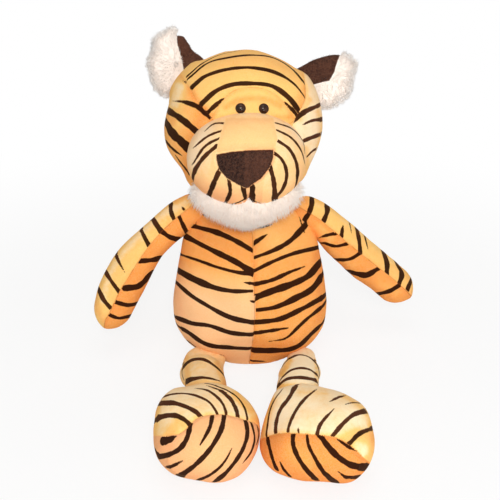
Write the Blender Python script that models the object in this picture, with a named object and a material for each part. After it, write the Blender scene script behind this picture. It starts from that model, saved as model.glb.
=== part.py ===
"""A seated plush tiger: sewn fabric covers over stuffed forms.

Metres, +Z up. The tiger faces -Y, so its own left side is at +X. The origin is
the middle of the flat seat under the torso.
"""
import math

import bmesh
import bpy
import numpy as np
from mathutils import Matrix, Vector
from mathutils.bvhtree import BVHTree

MM = 0.001
NAME = "plush_tiger"

# Sewing values that every cover shares.
FABRIC = 1.6 * MM
SEAM_GAP = 0.3 * MM
FILL_GAP = 0.3 * MM
SOCKET_GAP = 0.4 * MM
OVERRUN = 20 * MM
WELD = 0.01 * MM
SNAP = 0.5 * MM
SHARPEST_LEAN = 0.7
SHARPEST_MITRE = -0.5

# Torso: a pear that leans back on a flat seat.
TORSO_LEAN = math.radians(15)
TORSO_LENGTH = 178 * MM
TORSO_HALF_WIDTH = 80 * MM
TORSO_HALF_DEPTH = 54 * MM
SEAT_DROP = 6 * MM
TORSO_RINGS = 9
TORSO_SIDES = 18
# Share of the length, of the half width and of the half depth at each level.
TORSO_SHARES = (
    (0.00, 0.46, 0.52),
    (0.07, 0.74, 0.76),
    (0.17, 0.93, 0.94),
    (0.32, 1.00, 1.00),
    (0.46, 0.97, 0.96),
    (0.62, 0.91, 0.87),
    (0.77, 0.82, 0.66),
    (0.87, 0.65, 0.45),
    (0.94, 0.45, 0.34),
    (1.00, 0.20, 0.22),
)

# Neck: a ball of packed stuffing between torso and head.
NECK_RADIUS = 29 * MM
NECK_SHARE = 0.93

# Head: a rounded form that looks up a little.
HEAD_CENTRE = Vector((-7 * MM, 50 * MM, 234 * MM))
HEAD_HALF_WIDTH = 79.5 * MM
HEAD_HALF_DEPTH = 64 * MM
HEAD_HALF_HEIGHT = 72 * MM
HEAD_LOOK_UP = math.radians(14)
HEAD_TURN = math.radians(4)
HEAD_RINGS = 9
HEAD_SIDES = 16
# Share of the half width, half depth and half height at each latitude.
HEAD_SHARES = (
    (0.00, 0.40, 0.50, -1.00),
    (0.12, 0.62, 0.68, -0.88),
    (0.28, 0.82, 0.86, -0.58),
    (0.46, 0.99, 0.98, -0.12),
    (0.60, 0.98, 1.00, 0.22),
    (0.76, 0.82, 0.88, 0.62),
    (0.90, 0.52, 0.58, 0.90),
    (1.00, 0.22, 0.26, 0.99),
)
HEAD_LOW_POLE_SHARE = 1.02
CHEEK_SEAM_TILT = math.radians(29)
CHEEK_SEAM_OFFSET = 33.7 * MM
BACK_SEAM_OFFSET = 14 * MM
BROW_FORWARD = 53.7 * MM

# Muzzle: a broad ball on the front of the head.
MUZZLE_FORWARD = 49 * MM
MUZZLE_DOWN = 31 * MM
MUZZLE_HALF_WIDTH = 57 * MM
MUZZLE_HALF_HEIGHT = 46 * MM
MUZZLE_HALF_DEPTH = 47 * MM
MUZZLE_RINGS = 6
MUZZLE_SIDES = 12
BRIDGE_HALF_WIDTH = 29 * MM
NOSE_HALF_WIDTH = 27 * MM
NOSE_TOP = 11 * MM
NOSE_SIDE_LEVEL = -4 * MM
NOSE_BOTTOM = -27 * MM

# Chin: a crescent of long fur under the muzzle.
CHIN_FORWARD = 36 * MM
CHIN_DOWN = 66 * MM
CHIN_HALF_WIDTH = 54 * MM
CHIN_HALF_HEIGHT = 27 * MM
CHIN_HALF_DEPTH = 36 * MM
CHIN_RINGS = 5
CHIN_SIDES = 10

# Safety eyes: a glossy dome on a shank with a washer inside.
EYE_RADIUS = 5 * MM
EYE_HEIGHT = 4 * MM
EYE_SPACING = 23 * MM
EYE_UP = 17 * MM
EYE_SHIFT = 4.5 * MM
SHANK_RADIUS = 1.6 * MM
SHANK_LENGTH = 10 * MM
SHANK_GAP = 0.3 * MM
WASHER_RADIUS = 6 * MM
WASHER_THICKNESS = 1.6 * MM
WASHER_BACKSET = 1.8 * MM
WASHER_GAP = 0.5 * MM
EYE_SEAT = 0.3 * MM
EYE_SIDES = 10
EYE_RINGS = 3

# Ears: leaf shapes, brown behind and white fur in front. Their rounded roots
# stand on the head's form, and the lift keeps them close over the cut panels.
EAR_LENGTH = 47 * MM
EAR_HALF_WIDTH = 31 * MM
EAR_THICKNESS = 11 * MM
EAR_LIFT = -0.4 * MM
EAR_RINGS = 5
EAR_SIDES = 8
EAR_SHARES = (
    (0.00, 0.42, 0.90),
    (0.20, 0.84, 1.00),
    (0.45, 1.00, 1.00),
    (0.70, 0.92, 0.90),
    (0.90, 0.60, 0.66),
    (1.00, 0.25, 0.36),
)
EAR_TIP_SHARE = 1.03
EAR_ROOT = {"left": (55 * MM, 18 * MM, 29 * MM), "right": (-38 * MM, 24 * MM, 41 * MM)}
EAR_OUT = {"left": (0.96, 0.05, 0.25), "right": (-0.74, 0.05, 0.62)}
EAR_FACE = {"left": (0.2, -0.95, -0.2), "right": (-0.3, -0.95, -0.1)}

# Arms.
ARM_ROOT_RADIUS = 20 * MM
ARM_RADIUS = 22.5 * MM
ARM_NARROW_SHARE = 0.84
ARM_PAW_SHARE = 0.95
ARM_RINGS = 7
ARM_SIDES = 8

# Legs and feet.
LEG_ROOT_RADIUS = 16 * MM
LEG_RADIUS = 18.5 * MM
LEG_NARROW_SHARE = 0.92
LEG_RINGS = 6
LEG_SIDES = 8
ANKLE_RADIUS = 18 * MM
FOOT_LENGTH = 100 * MM
FOOT_HALF_WIDTH = 44.5 * MM
FOOT_HALF_HEIGHT = 35.5 * MM
FOOT_FLAT = 0.5 * MM
FOOT_RINGS = 7
FOOT_SIDES = 12
FOOT_SHARES = (
    (0.00, 0.34, 0.36, -0.96),
    (0.15, 0.68, 0.72, -0.76),
    (0.35, 0.93, 0.95, -0.38),
    (0.52, 1.00, 1.00, 0.02),
    (0.68, 0.96, 0.96, 0.40),
    (0.85, 0.70, 0.72, 0.78),
    (1.00, 0.34, 0.36, 0.97),
)
SOLE_TILT = math.radians(35)
SOLE_TURN_IN = math.radians(12)
SOLE_OFFSET = 8 * MM

# Tail.
TAIL_RADIUS = 10 * MM
TAIL_ROOT_RADIUS = 10.5 * MM
TAIL_NARROW_SHARE = 0.8
TAIL_RINGS = 7
TAIL_SIDES = 8
TAIL_MOUTH_SHARE = 0.5

# The toy's own sides, and where limbs join the torso, as shares of its length,
# half width and half depth.
SIDES = {"left": 1, "right": -1}
SHOULDER_SHARES = (0.865, 0.72, 0.02)
HIP_SHARES = (0.089, 0.57, -0.692)
TAIL_ROOT_SHARES = (0.22, 0.0, 0.95)

# Paths of the limbs from the joint, as shares of the limb's length.
ARM_LENGTH = 155 * MM
ARM_PATH_SHARES = {
    "right": ((0, 0, 0), (-0.30, -0.13, -0.17), (-0.49, -0.26, -0.42), (-0.605, -0.355, -0.665)),
    "left": ((0, 0, 0), (0.24, 0.0, -0.14), (0.51, 0.0, -0.42), (0.735, 0.0, -0.62)),
}
LEG_LENGTH = 109 * MM
LEG_PATH_SHARES = {
    "right": ((0, 0, 0), (-0.03, -0.24, 0.015), (0.0, -0.56, 0.13), (0.04, -1.0, 0.18)),
    "left": ((0, 0, 0), (0.02, -0.24, 0.015), (0.0, -0.56, 0.13), (-0.01, -1.0, 0.18)),
}
FOOT_FORWARD = 46 * MM
FOOT_SIDE = {"right": 2 * MM, "left": 15 * MM}
FOOT_YAW = math.radians(18)
TAIL_LENGTH = 120 * MM
TAIL_PATH_SHARES = ((0, 0, 0), (0.02, 0.26, -0.03), (0.10, 0.52, -0.06), (0.26, 0.74, -0.07))

# Joint balls and the fineness of curves.
BALL_SIDES = 12
BALL_RINGS = 6
SPINE_STEPS = 4

# Colours and finishes: red, green, blue, roughness.
FINISHES = {
    "orange": (0.86, 0.42, 0.12, 0.9),
    "cream": (0.90, 0.58, 0.28, 0.9),
    "brown": (0.07, 0.035, 0.022, 0.9),
    "white": (0.88, 0.85, 0.80, 0.95),
    "stuffing": (0.82, 0.82, 0.80, 1.0),
    "eye": (0.03, 0.012, 0.008, 0.12),
    "washer": (0.75, 0.75, 0.75, 0.5),
}


def start_scene():
    for item in list(bpy.data.objects):
        bpy.data.objects.remove(item)
    groups = []
    for name in (NAME, "cutters"):
        group = bpy.data.collections.new(name)
        bpy.context.scene.collection.children.link(group)
        groups.append(group)
    return groups


PARTS, CUTTERS = start_scene()
UNMOVED = Matrix.Identity(4)
MIDDLE = Vector()


def finished(name, finish):
    red, green, blue, roughness = FINISHES[finish]
    made = bpy.data.materials.new(name)
    made.use_nodes = True
    shader = made.node_tree.nodes["Principled BSDF"]
    shader.inputs["Base Color"].default_value = (red, green, blue, 1)
    shader.inputs["Roughness"].default_value = roughness
    shader.inputs["Metallic"].default_value = 0
    return made


def subpart(mesh, finish, pivot, tools=()):
    """Makes one sub-part from a mesh in world places, with its origin on its joint."""
    item = bpy.data.objects.new(mesh.name, mesh)
    mesh.transform(Matrix.Translation(-pivot))
    item.location = pivot
    mesh.materials.append(finished(mesh.name, finish))
    PARTS.objects.link(item)
    for tool in tools:
        cut(item, tool)


def cutter(mesh):
    item = bpy.data.objects.new(mesh.name, mesh)
    item.hide_render = True
    item.display_type = "WIRE"
    CUTTERS.objects.link(item)
    return item


def cut(item, tool):
    step = item.modifiers.new(tool.name, "BOOLEAN")
    step.operation = "DIFFERENCE"
    step.solver = "EXACT"
    step.object = tool


def smooth_rows(rows, count):
    """Samples a table of rows evenly along a smooth curve through them."""
    table = np.array(rows, dtype=float)
    place = table[:, 0]
    slope = np.gradient(table, place, axis=0)
    samples = []
    for at in np.linspace(place[0], place[-1], count):
        left = min(max(int(np.searchsorted(place, at, side="right")) - 1, 0), len(place) - 2)
        width = place[left + 1] - place[left]
        t = (at - place[left]) / width
        blend = (
            (2 * t**3 - 3 * t**2 + 1) * table[left]
            + (t**3 - 2 * t**2 + t) * width * slope[left]
            + (3 * t**2 - 2 * t**3) * table[left + 1]
            + (t**3 - t**2) * width * slope[left + 1]
        )
        blend[0] = at
        samples.append(blend)
    return samples


def face_outward(form):
    """Turns a closed form's faces so that they all point out."""
    bmesh.ops.recalc_face_normals(form, faces=form.faces)
    if form.calc_volume(signed=True) < 0:
        bmesh.ops.reverse_faces(form, faces=form.faces)


def loft(rings, first_pole, last_pole):
    """Closes a stack of equal rings with a pole at each end; faces point out."""
    form = bmesh.new()
    grid = [[form.verts.new(point) for point in ring] for ring in rings]
    for low, high in zip(grid, grid[1:]):
        for i in range(len(low)):
            j = (i + 1) % len(low)
            form.faces.new((low[i], low[j], high[j], high[i]))
    for ring, pole in ((grid[0], first_pole), (grid[-1], last_pole)):
        tip = form.verts.new(pole)
        for i in range(len(ring)):
            form.faces.new((ring[i], ring[(i + 1) % len(ring)], tip))
    face_outward(form)
    return form


def ring(centre, side, depth, half_width, half_depth, sides):
    points = []
    for i in range(sides):
        angle = 2 * math.pi * (i + 0.5) / sides
        points.append(centre + side * half_width * math.sin(angle) + depth * half_depth * math.cos(angle))
    return points


def trim(form, point, keep):
    """Cuts a form off flat at a point, keeps what lies the keep way and closes the cut."""
    geometry = form.verts[:] + form.edges[:] + form.faces[:]
    bmesh.ops.bisect_plane(form, geom=geometry, dist=WELD, plane_co=point, plane_no=keep, clear_inner=True)
    rim = [edge for edge in form.edges if edge.is_boundary]
    bmesh.ops.contextual_create(form, geom=rim)
    face_outward(form)


def score(form, planes):
    """Draws seam lines on a form where planes cross it."""
    for point, normal in planes:
        geometry = form.verts[:] + form.edges[:] + form.faces[:]
        bmesh.ops.bisect_plane(form, geom=geometry, dist=SNAP, plane_co=point, plane_no=normal)
    bmesh.ops.triangulate(form, faces=form.faces)
    form.normal_update()


def inward(form, depth):
    """Where each vertex goes when every face moves in by depth, less at sharp corners."""
    form.normal_update()
    moved = {}
    for vert in form.verts:
        normal = vert.normal.copy()
        lean = min(face.normal.dot(normal) for face in vert.link_faces)
        moved[vert.index] = vert.co - normal * depth / max(lean, SHARPEST_LEAN)
    return moved


def to_mesh(form, name, place=UNMOVED):
    bmesh.ops.triangulate(form, faces=form.faces)
    mesh = bpy.data.meshes.new(name)
    form.to_mesh(mesh)
    form.free()
    mesh.shade_smooth()
    mesh.transform(place)
    return mesh


def resized(form, name, depth, place=UNMOVED):
    """A closed copy of a form whose faces are moved in by depth, or out where it is negative."""
    form.verts.index_update()
    moved = inward(form, depth)
    copy = form.copy()
    for vert in copy.verts:
        vert.co = moved[vert.index]
    return to_mesh(copy, name, place)


def panel_mesh(form, chosen, name, place):
    """One sewn panel: chosen faces, their inner faces and the edge along each seam."""
    form.verts.index_update()
    inner = inward(form, FABRIC)
    faces = [face for face in form.faces if chosen(face)]
    inside = set(faces)
    pull = {}
    for face in faces:
        for loop in face.loops:
            other = loop.link_loop_radial_next.face
            if other in inside:
                continue
            along = (loop.link_loop_next.vert.co - loop.vert.co).normalized()
            into = face.normal.cross(along).normalized()
            for vert in (loop.vert, loop.link_loop_next.vert):
                pull.setdefault(vert.index, []).append(into)
    made = bmesh.new()
    outer_verts = {}
    inner_verts = {}
    for face in faces:
        for vert in face.verts:
            if vert.index in outer_verts:
                continue
            shift = Vector()
            if vert.index in pull:
                a, b = pull[vert.index][0], pull[vert.index][-1]
                shift = (a + b) / (1 + max(a.dot(b), SHARPEST_MITRE)) * SEAM_GAP / 2
            outer_verts[vert.index] = made.verts.new(vert.co + shift)
            inner_verts[vert.index] = made.verts.new(inner[vert.index] + shift)
    for face in faces:
        made.faces.new([outer_verts[vert.index] for vert in face.verts])
        made.faces.new([inner_verts[vert.index] for vert in reversed(face.verts)])
        for loop in face.loops:
            if loop.link_loop_radial_next.face in inside:
                continue
            a, b = loop.vert.index, loop.link_loop_next.vert.index
            if a < b:
                made.faces.new((outer_verts[b], outer_verts[a], inner_verts[a]))
                made.faces.new((outer_verts[b], inner_verts[a], inner_verts[b]))
            else:
                made.faces.new((outer_verts[b], outer_verts[a], inner_verts[b]))
                made.faces.new((outer_verts[a], inner_verts[a], inner_verts[b]))
    return to_mesh(made, name, place)


def ball_mesh(name, centre, radius, turn=UNMOVED):
    form = bmesh.new()
    bmesh.ops.create_uvsphere(
        form, u_segments=BALL_SIDES, v_segments=BALL_RINGS, radius=radius, matrix=turn)
    return to_mesh(form, name, Matrix.Translation(centre))


def socket(name, centre, radius):
    """A cutter round a ball: its flattest facets just clear the ball and face its corners."""
    side_step = math.pi / BALL_SIDES
    ring_step = math.pi / (2 * BALL_RINGS)
    turn = Matrix.Rotation(ring_step, 4, "X") @ Matrix.Rotation(side_step, 4, "Z")
    reach = (radius + SOCKET_GAP) / (math.cos(side_step) * math.cos(ring_step))
    return cutter(ball_mesh(name, centre, reach, turn))


def path_form(points, radii, count, sides, up):
    """A limb: rings of a smooth radius along a smooth curve, with round ends."""
    rows = [(i / (len(points) - 1), *point, radius) for i, (point, radius) in enumerate(zip(points, radii))]
    fine = smooth_rows(rows, count * SPINE_STEPS)
    spine = [Vector(row[1:4]) for row in fine]
    length = [0.0]
    for a, b in zip(spine, spine[1:]):
        length.append(length[-1] + (b - a).length)
    first, last = radii[0], radii[-1]
    total = length[-1]
    rings = []
    for k in range(count):
        turn = math.pi * (k + 1) / (count + 1)
        share = (1 - math.cos(turn)) / 2
        at = share * total
        here = int(np.searchsorted(length, at)) if at < total else len(spine) - 1
        here = min(max(here, 1), len(spine) - 1)
        t = (at - length[here - 1]) / (length[here] - length[here - 1])
        centre = spine[here - 1].lerp(spine[here], t)
        radius = fine[here - 1][4] * (1 - t) + fine[here][4] * t
        ahead = (spine[here] - spine[here - 1]).normalized()
        if at < first:
            radius *= math.sqrt(max(1 - (1 - at / first) ** 2, 0))
        if total - at < last:
            radius *= math.sqrt(max(1 - (1 - (total - at) / last) ** 2, 0))
        side = ahead.cross(up).normalized()
        depth = side.cross(ahead).normalized()
        rings.append(ring(centre, side, depth, radius, radius, sides))
    return loft(rings, spine[0], spine[-1])


def torso_frame():
    """Rows: side, depth and rise directions of the leaning torso, and its lowest point."""
    side = Vector((1, 0, 0))
    rise = Vector((0, math.sin(TORSO_LEAN), math.cos(TORSO_LEAN)))
    depth = Vector((0, math.cos(TORSO_LEAN), -math.sin(TORSO_LEAN)))
    return side, depth, rise, Vector((0, 0, -SEAT_DROP))


def torso_point(length_share, width_share, depth_share):
    side, depth, rise, low = torso_frame()
    return (
        low + rise * TORSO_LENGTH * length_share
        + side * TORSO_HALF_WIDTH * width_share + depth * TORSO_HALF_DEPTH * depth_share)


def torso_form():
    side, depth, rise, low = torso_frame()
    rows = smooth_rows(TORSO_SHARES, TORSO_RINGS)
    rings = [
        ring(low + rise * TORSO_LENGTH * row[0], side, depth,
             TORSO_HALF_WIDTH * row[1], TORSO_HALF_DEPTH * row[2], TORSO_SIDES)
        for row in rows]
    form = loft(rings, low, torso_point(1, 0, 0))
    trim(form, Vector(), Vector((0, 0, 1)))
    return form


def neck_centre():
    return torso_point(NECK_SHARE, 0, 0)


def head_matrix():
    return (
        Matrix.Translation(HEAD_CENTRE)
        @ Matrix.Rotation(HEAD_TURN, 4, "Z")
        @ Matrix.Rotation(-HEAD_LOOK_UP, 4, "X"))


def head_form():
    x, y, z = Vector((1, 0, 0)), Vector((0, 1, 0)), Vector((0, 0, 1))
    rows = smooth_rows(HEAD_SHARES, HEAD_RINGS)
    rings = [
        ring(z * HEAD_HALF_HEIGHT * row[3], x, y,
             HEAD_HALF_WIDTH * row[1], HEAD_HALF_DEPTH * row[2], HEAD_SIDES)
        for row in rows]
    return loft(rings, -z * HEAD_HALF_HEIGHT * HEAD_LOW_POLE_SHARE, z * HEAD_HALF_HEIGHT)


def oval_form(centre, half_width, half_depth, half_height, rings, sides):
    x, y, z = Vector((1, 0, 0)), Vector((0, 1, 0)), Vector((0, 0, 1))
    levels = [-math.cos(math.pi * (k + 1) / (rings + 1)) for k in range(rings)]
    stack = [
        ring(centre + z * half_height * level, x, y,
             half_width * math.sqrt(1 - level**2), half_depth * math.sqrt(1 - level**2), sides)
        for level in levels]
    return loft(stack, centre - z * half_height, centre + z * half_height)


def panels(form, namer, finishes, pivot, tools=(), place=UNMOVED):
    """Makes one cover panel for each name that namer gives to places on a form."""
    for name, finish in finishes.items():
        mesh = panel_mesh(form, lambda face: namer(face.calc_center_median()) == name, name, place)
        subpart(mesh, finish, pivot, tools)


def filling(form, name, pivot, tools=(), place=UNMOVED):
    subpart(resized(form, name, FABRIC + FILL_GAP, place), "stuffing", pivot, tools)


def room(form, name, place=UNMOVED):
    """A cutter that leaves a gap all round a form."""
    return cutter(resized(form, name, -FILL_GAP, place))


def shoulder(side):
    along, width, depth = SHOULDER_SHARES
    return torso_point(along, width * SIDES[side], depth)


def hip(side):
    along, width, depth = HIP_SHARES
    return torso_point(along, width * SIDES[side], depth)


def ankle(side):
    return hip(side) + Vector(LEG_PATH_SHARES[side][-1]) * LEG_LENGTH


def tail_root():
    return torso_point(*TAIL_ROOT_SHARES)


def along_path(root, shares, length):
    return [root + Vector(share) * length for share in shares]


def limb_form(path, radii, rings, sides):
    """A limb whose root is a half ball about its joint."""
    lead = (path[1] - path[0]).normalized() * radii[0]
    points = [path[0] - lead] + list(path)
    return path_form(points, (radii[0],) + tuple(radii), rings, sides, Vector((0, 0, 1)))


def arm_form(side):
    path = along_path(shoulder(side), ARM_PATH_SHARES[side], ARM_LENGTH)
    radii = (ARM_ROOT_RADIUS, ARM_RADIUS * ARM_NARROW_SHARE, ARM_RADIUS, ARM_RADIUS * ARM_PAW_SHARE)
    return limb_form(path, radii, ARM_RINGS, ARM_SIDES)


def build_torso():
    tools = [
        socket("neck_socket_low", neck_centre(), NECK_RADIUS),
        socket("tail_socket", tail_root(), TAIL_ROOT_RADIUS)]
    for side in SIDES:
        tools.append(socket("shoulder_socket_" + side, shoulder(side), ARM_ROOT_RADIUS))
        tools.append(room(arm_form(side), "arm_dent_" + side))
        tools.append(socket("hip_socket_" + side, hip(side), LEG_ROOT_RADIUS))
    form = torso_form()
    side_way, depth_way, _, low = torso_frame()
    score(form, ((low, side_way), (low, depth_way)))

    def namer(place):
        if place.z < WELD:
            return "torso_seat"
        front = (place - low).dot(depth_way) < 0
        return "torso_" + ("front_" if front else "back_") + ("left" if place.x > 0 else "right")

    names = ["torso_seat"] + ["torso_" + part + side for part in ("front_", "back_") for side in SIDES]
    panels(form, namer, dict.fromkeys(names, "orange"), MIDDLE, tools)
    filling(form, "torso_stuffing", MIDDLE, tools)


def build_neck():
    subpart(ball_mesh("neck_stuffing", neck_centre(), NECK_RADIUS), "stuffing", neck_centre())


def eye_mount(side):
    """Frame of an eye on the head: its place on the cover and the way out."""
    form = head_form()
    surface = BVHTree.FromBMesh(form)
    start = Vector((EYE_SHIFT + EYE_SPACING / 2 * SIDES[side], -HEAD_HALF_DEPTH - OVERRUN, EYE_UP))
    place, out, _, _ = surface.ray_cast(start, Vector((0, 1, 0)))
    form.free()
    turn = out.to_track_quat("Z", "Y").to_matrix().to_4x4()
    return head_matrix() @ Matrix.Translation(place) @ turn


def turned_mesh(name, profile, place):
    """A turned solid from a closed half profile of radius and height."""
    form = bmesh.new()
    grid = []
    for i in range(EYE_SIDES):
        angle = 2 * math.pi * i / EYE_SIDES
        grid.append([form.verts.new((math.cos(angle) * r, math.sin(angle) * r, z)) for r, z in profile])
    for low, high in zip(grid, grid[1:] + grid[:1]):
        for j in range(len(profile)):
            k = (j + 1) % len(profile)
            form.faces.new((low[j], high[j], high[k], low[k]))
    bmesh.ops.remove_doubles(form, verts=form.verts, dist=WELD)
    bmesh.ops.dissolve_degenerate(form, edges=form.edges, dist=WELD)
    bmesh.ops.recalc_face_normals(form, faces=form.faces)
    return to_mesh(form, name, place)


def eye_tools(name, room_radius):
    """Cutters behind each eye: the shank's hole, wider down to the washer's far side."""
    hole_radius = SHANK_RADIUS + SHANK_GAP
    step = -FABRIC - WASHER_BACKSET - WASHER_THICKNESS - WASHER_GAP
    end = -SHANK_LENGTH - SHANK_GAP
    profile = (
        (0, OVERRUN), (room_radius, OVERRUN), (room_radius, step),
        (hole_radius, step), (hole_radius, end), (0, end))
    return [cutter(turned_mesh(name + side, profile, eye_mount(side))) for side in SIDES]


def build_eyes():
    base = SHANK_GAP + EYE_SEAT
    rises = [math.radians(90 * step / EYE_RINGS) for step in range(EYE_RINGS)]
    dome = [(EYE_RADIUS * math.cos(rise), base + EYE_HEIGHT * math.sin(rise)) for rise in rises]
    shank = [(0, -SHANK_LENGTH), (SHANK_RADIUS, -SHANK_LENGTH), (SHANK_RADIUS, base)]
    top = -FABRIC - WASHER_BACKSET
    low = top - WASHER_THICKNESS
    bore = SHANK_RADIUS + SHANK_GAP
    washer = ((bore, low), (WASHER_RADIUS, low), (WASHER_RADIUS, top), (bore, top))
    for side in SIDES:
        mount = eye_mount(side)
        eye = turned_mesh("eye_" + side, shank + dome + [(0, base + EYE_HEIGHT)], mount)
        subpart(eye, "eye", neck_centre())
        subpart(turned_mesh("eye_washer_" + side, washer, mount), "washer", neck_centre())


def build_head(neck_room):
    form = head_form()
    tilt = CHEEK_SEAM_TILT
    planes = [
        (MIDDLE, (1, 0, 0)),
        (MIDDLE, (0, 0, 1)),
        ((0, -BROW_FORWARD, 0), (0, 1, 0)),
        ((0, BACK_SEAM_OFFSET, 0), (0, 1, 0))]
    for sign in SIDES.values():
        normal = Vector((sign * math.cos(tilt), 0, -math.sin(tilt)))
        planes.append((normal * CHEEK_SEAM_OFFSET, normal))
    score(form, planes)

    def namer(place):
        side = "left" if place.x > 0 else "right"
        if place.y < -BROW_FORWARD:
            return "brow_patch"
        if place.y > BACK_SEAM_OFFSET:
            return "head_back_" + side
        past = abs(place.x) * math.cos(tilt) - place.z * math.sin(tilt) > CHEEK_SEAM_OFFSET
        return "cheek_" + side if past or place.z < 0 else "head_crown"

    turn = head_matrix()
    holes = eye_tools("shank_hole_", SHANK_RADIUS + SHANK_GAP)
    rooms = eye_tools("washer_room_", WASHER_RADIUS + WASHER_GAP)
    names = ("head_crown", "cheek_left", "cheek_right", "head_back_left", "head_back_right")
    panels(form, namer, dict.fromkeys(names, "orange"), neck_centre(), [neck_room], turn)
    panels(form, namer, {"brow_patch": "cream"}, neck_centre(), holes, turn)
    filling(form, "head_stuffing", neck_centre(), [neck_room] + rooms, turn)
    return room(form, "head_room", turn)


def build_muzzle(head_room):
    centre = Vector((0, -MUZZLE_FORWARD, -MUZZLE_DOWN))
    form = oval_form(
        centre, MUZZLE_HALF_WIDTH, MUZZLE_HALF_DEPTH, MUZZLE_HALF_HEIGHT, MUZZLE_RINGS, MUZZLE_SIDES)
    drop = math.atan2(NOSE_SIDE_LEVEL - NOSE_BOTTOM, NOSE_HALF_WIDTH)
    slant = Vector((math.sin(drop), 0, -math.cos(drop)))
    tip = centre + Vector((0, 0, NOSE_BOTTOM))
    planes = [(centre, (1, 0, 0)), (centre + Vector((0, 0, NOSE_TOP)), (0, 0, 1))]
    for sign in SIDES.values():
        planes.append((centre + Vector((sign * BRIDGE_HALF_WIDTH, 0, 0)), (1, 0, 0)))
        planes.append((tip, (sign * slant.x, 0, slant.z)))
    score(form, planes)

    def namer(place):
        level = place.z - centre.z
        front = place.y < centre.y
        if abs(place.x) < BRIDGE_HALF_WIDTH and front:
            if level > NOSE_TOP:
                return "muzzle_bridge"
            if abs(place.x) * slant.x + (level - NOSE_BOTTOM) * slant.z < 0:
                return "nose"
        return "muzzle_left" if place.x > 0 else "muzzle_right"

    turn = head_matrix()
    finishes = {"muzzle_bridge": "cream", "nose": "brown", "muzzle_left": "orange", "muzzle_right": "orange"}
    panels(form, namer, finishes, neck_centre(), [head_room], turn)
    filling(form, "muzzle_stuffing", neck_centre(), [head_room], turn)
    return room(form, "muzzle_room", turn)


def build_chin(tools):
    centre = Vector((0, -CHIN_FORWARD, -CHIN_DOWN))
    form = oval_form(centre, CHIN_HALF_WIDTH, CHIN_HALF_DEPTH, CHIN_HALF_HEIGHT, CHIN_RINGS, CHIN_SIDES)
    subpart(to_mesh(form, "chin_fur", head_matrix()), "white", neck_centre(), tools)


def ear_root(side):
    """The ear's hinge, clear of the head by the round of the ear's root."""
    form = head_form()
    form.transform(head_matrix())
    surface = BVHTree.FromBMesh(form)
    seat, normal, _, _ = surface.find_nearest(head_matrix() @ Vector(EAR_ROOT[side]))
    form.free()
    return seat + normal * (EAR_THICKNESS / 2 + EAR_LIFT)


def build_ear(side, head_room):
    """Leaf of two halves on a rolled root that the head carries."""
    root = ear_root(side)
    out = Vector(EAR_OUT[side]).normalized()
    face = Vector(EAR_FACE[side])
    face = (face - out * face.dot(out)).normalized()
    across = out.cross(face).normalized()
    rows = smooth_rows(EAR_SHARES, EAR_RINGS)
    rings = [
        ring(root + out * EAR_LENGTH * row[0], across, face,
             EAR_HALF_WIDTH * row[1], EAR_THICKNESS / 2 * row[2], EAR_SIDES)
        for row in rows]
    heel = root - out * EAR_THICKNESS / 2
    form = loft(rings, heel, root + out * EAR_LENGTH * EAR_TIP_SHARE)
    for finish, keep in (("white", 1), ("brown", -1)):
        half = form.copy()
        trim(half, root + face * keep * SEAM_GAP / 2, face * keep)
        subpart(to_mesh(half, "ear_" + finish + "_" + side), finish, root, [head_room])
    form.free()


def build_arm(side):
    root = shoulder(side)
    form = arm_form(side)
    reach = Vector(ARM_PATH_SHARES[side][-1])
    forward = reach.cross(Vector((0, 0, 1))).cross(reach).normalized()
    score(form, [(root, forward)])

    def namer(place):
        return ("arm_upper_" if (place - root).dot(forward) > 0 else "arm_lower_") + side

    panels(form, namer, {"arm_upper_" + side: "orange", "arm_lower_" + side: "orange"}, root)
    filling(form, "arm_stuffing_" + side, root)


def build_leg(side):
    root = hip(side)
    path = along_path(root, LEG_PATH_SHARES[side], LEG_LENGTH)
    radii = (LEG_ROOT_RADIUS, LEG_RADIUS * LEG_NARROW_SHARE, LEG_RADIUS, ANKLE_RADIUS)
    lead = (path[-1] - path[-2]).normalized() * ANKLE_RADIUS
    form = limb_form(path + [path[-1] + lead], radii + (ANKLE_RADIUS,), LEG_RINGS, LEG_SIDES)
    score(form, [(root, (1, 0, 0))])

    def namer(place):
        outer = (place.x - root.x) * SIDES[side] > 0
        return ("leg_outer_" if outer else "leg_inner_") + side

    panels(form, namer, {"leg_outer_" + side: "orange", "leg_inner_" + side: "orange"}, root)
    filling(form, "leg_stuffing_" + side, root)


def build_foot(side):
    sign = SIDES[side]
    joint = ankle(side)
    toe = Vector((sign * math.sin(FOOT_YAW), -math.cos(FOOT_YAW), 0))
    across = Vector((toe.y, -toe.x, 0))
    up = Vector((0, 0, 1))
    centre = Vector((joint.x + FOOT_SIDE[side], joint.y - FOOT_FORWARD, 0))
    rows = smooth_rows(FOOT_SHARES, FOOT_RINGS)
    rings = [
        ring(centre + toe * FOOT_LENGTH / 2 * row[3], across, up,
             FOOT_HALF_WIDTH * row[1], FOOT_HALF_HEIGHT * row[2], FOOT_SIDES)
        for row in rows]
    form = loft(rings, centre - toe * FOOT_LENGTH / 2, centre + toe * FOOT_LENGTH / 2)
    rise = up * (-FOOT_FLAT - min(vert.co.z for vert in form.verts))
    bmesh.ops.translate(form, verts=form.verts, vec=rise)
    centre += rise
    trim(form, Vector(), Vector((0, 0, 1)))
    ahead = Vector((-sign * math.sin(SOLE_TURN_IN), -math.cos(SOLE_TURN_IN), 0))
    sole = ahead * math.cos(SOLE_TILT) - up * math.sin(SOLE_TILT)
    score(form, [(centre + sole * SOLE_OFFSET, sole)])

    def namer(place):
        return ("foot_sole_" if (place - centre).dot(sole) > SOLE_OFFSET else "foot_upper_") + side

    tools = [socket("ankle_socket_" + side, joint, ANKLE_RADIUS)]
    panels(form, namer, {"foot_sole_" + side: "orange", "foot_upper_" + side: "orange"}, joint, tools)
    filling(form, "foot_stuffing_" + side, joint, tools)


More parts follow.
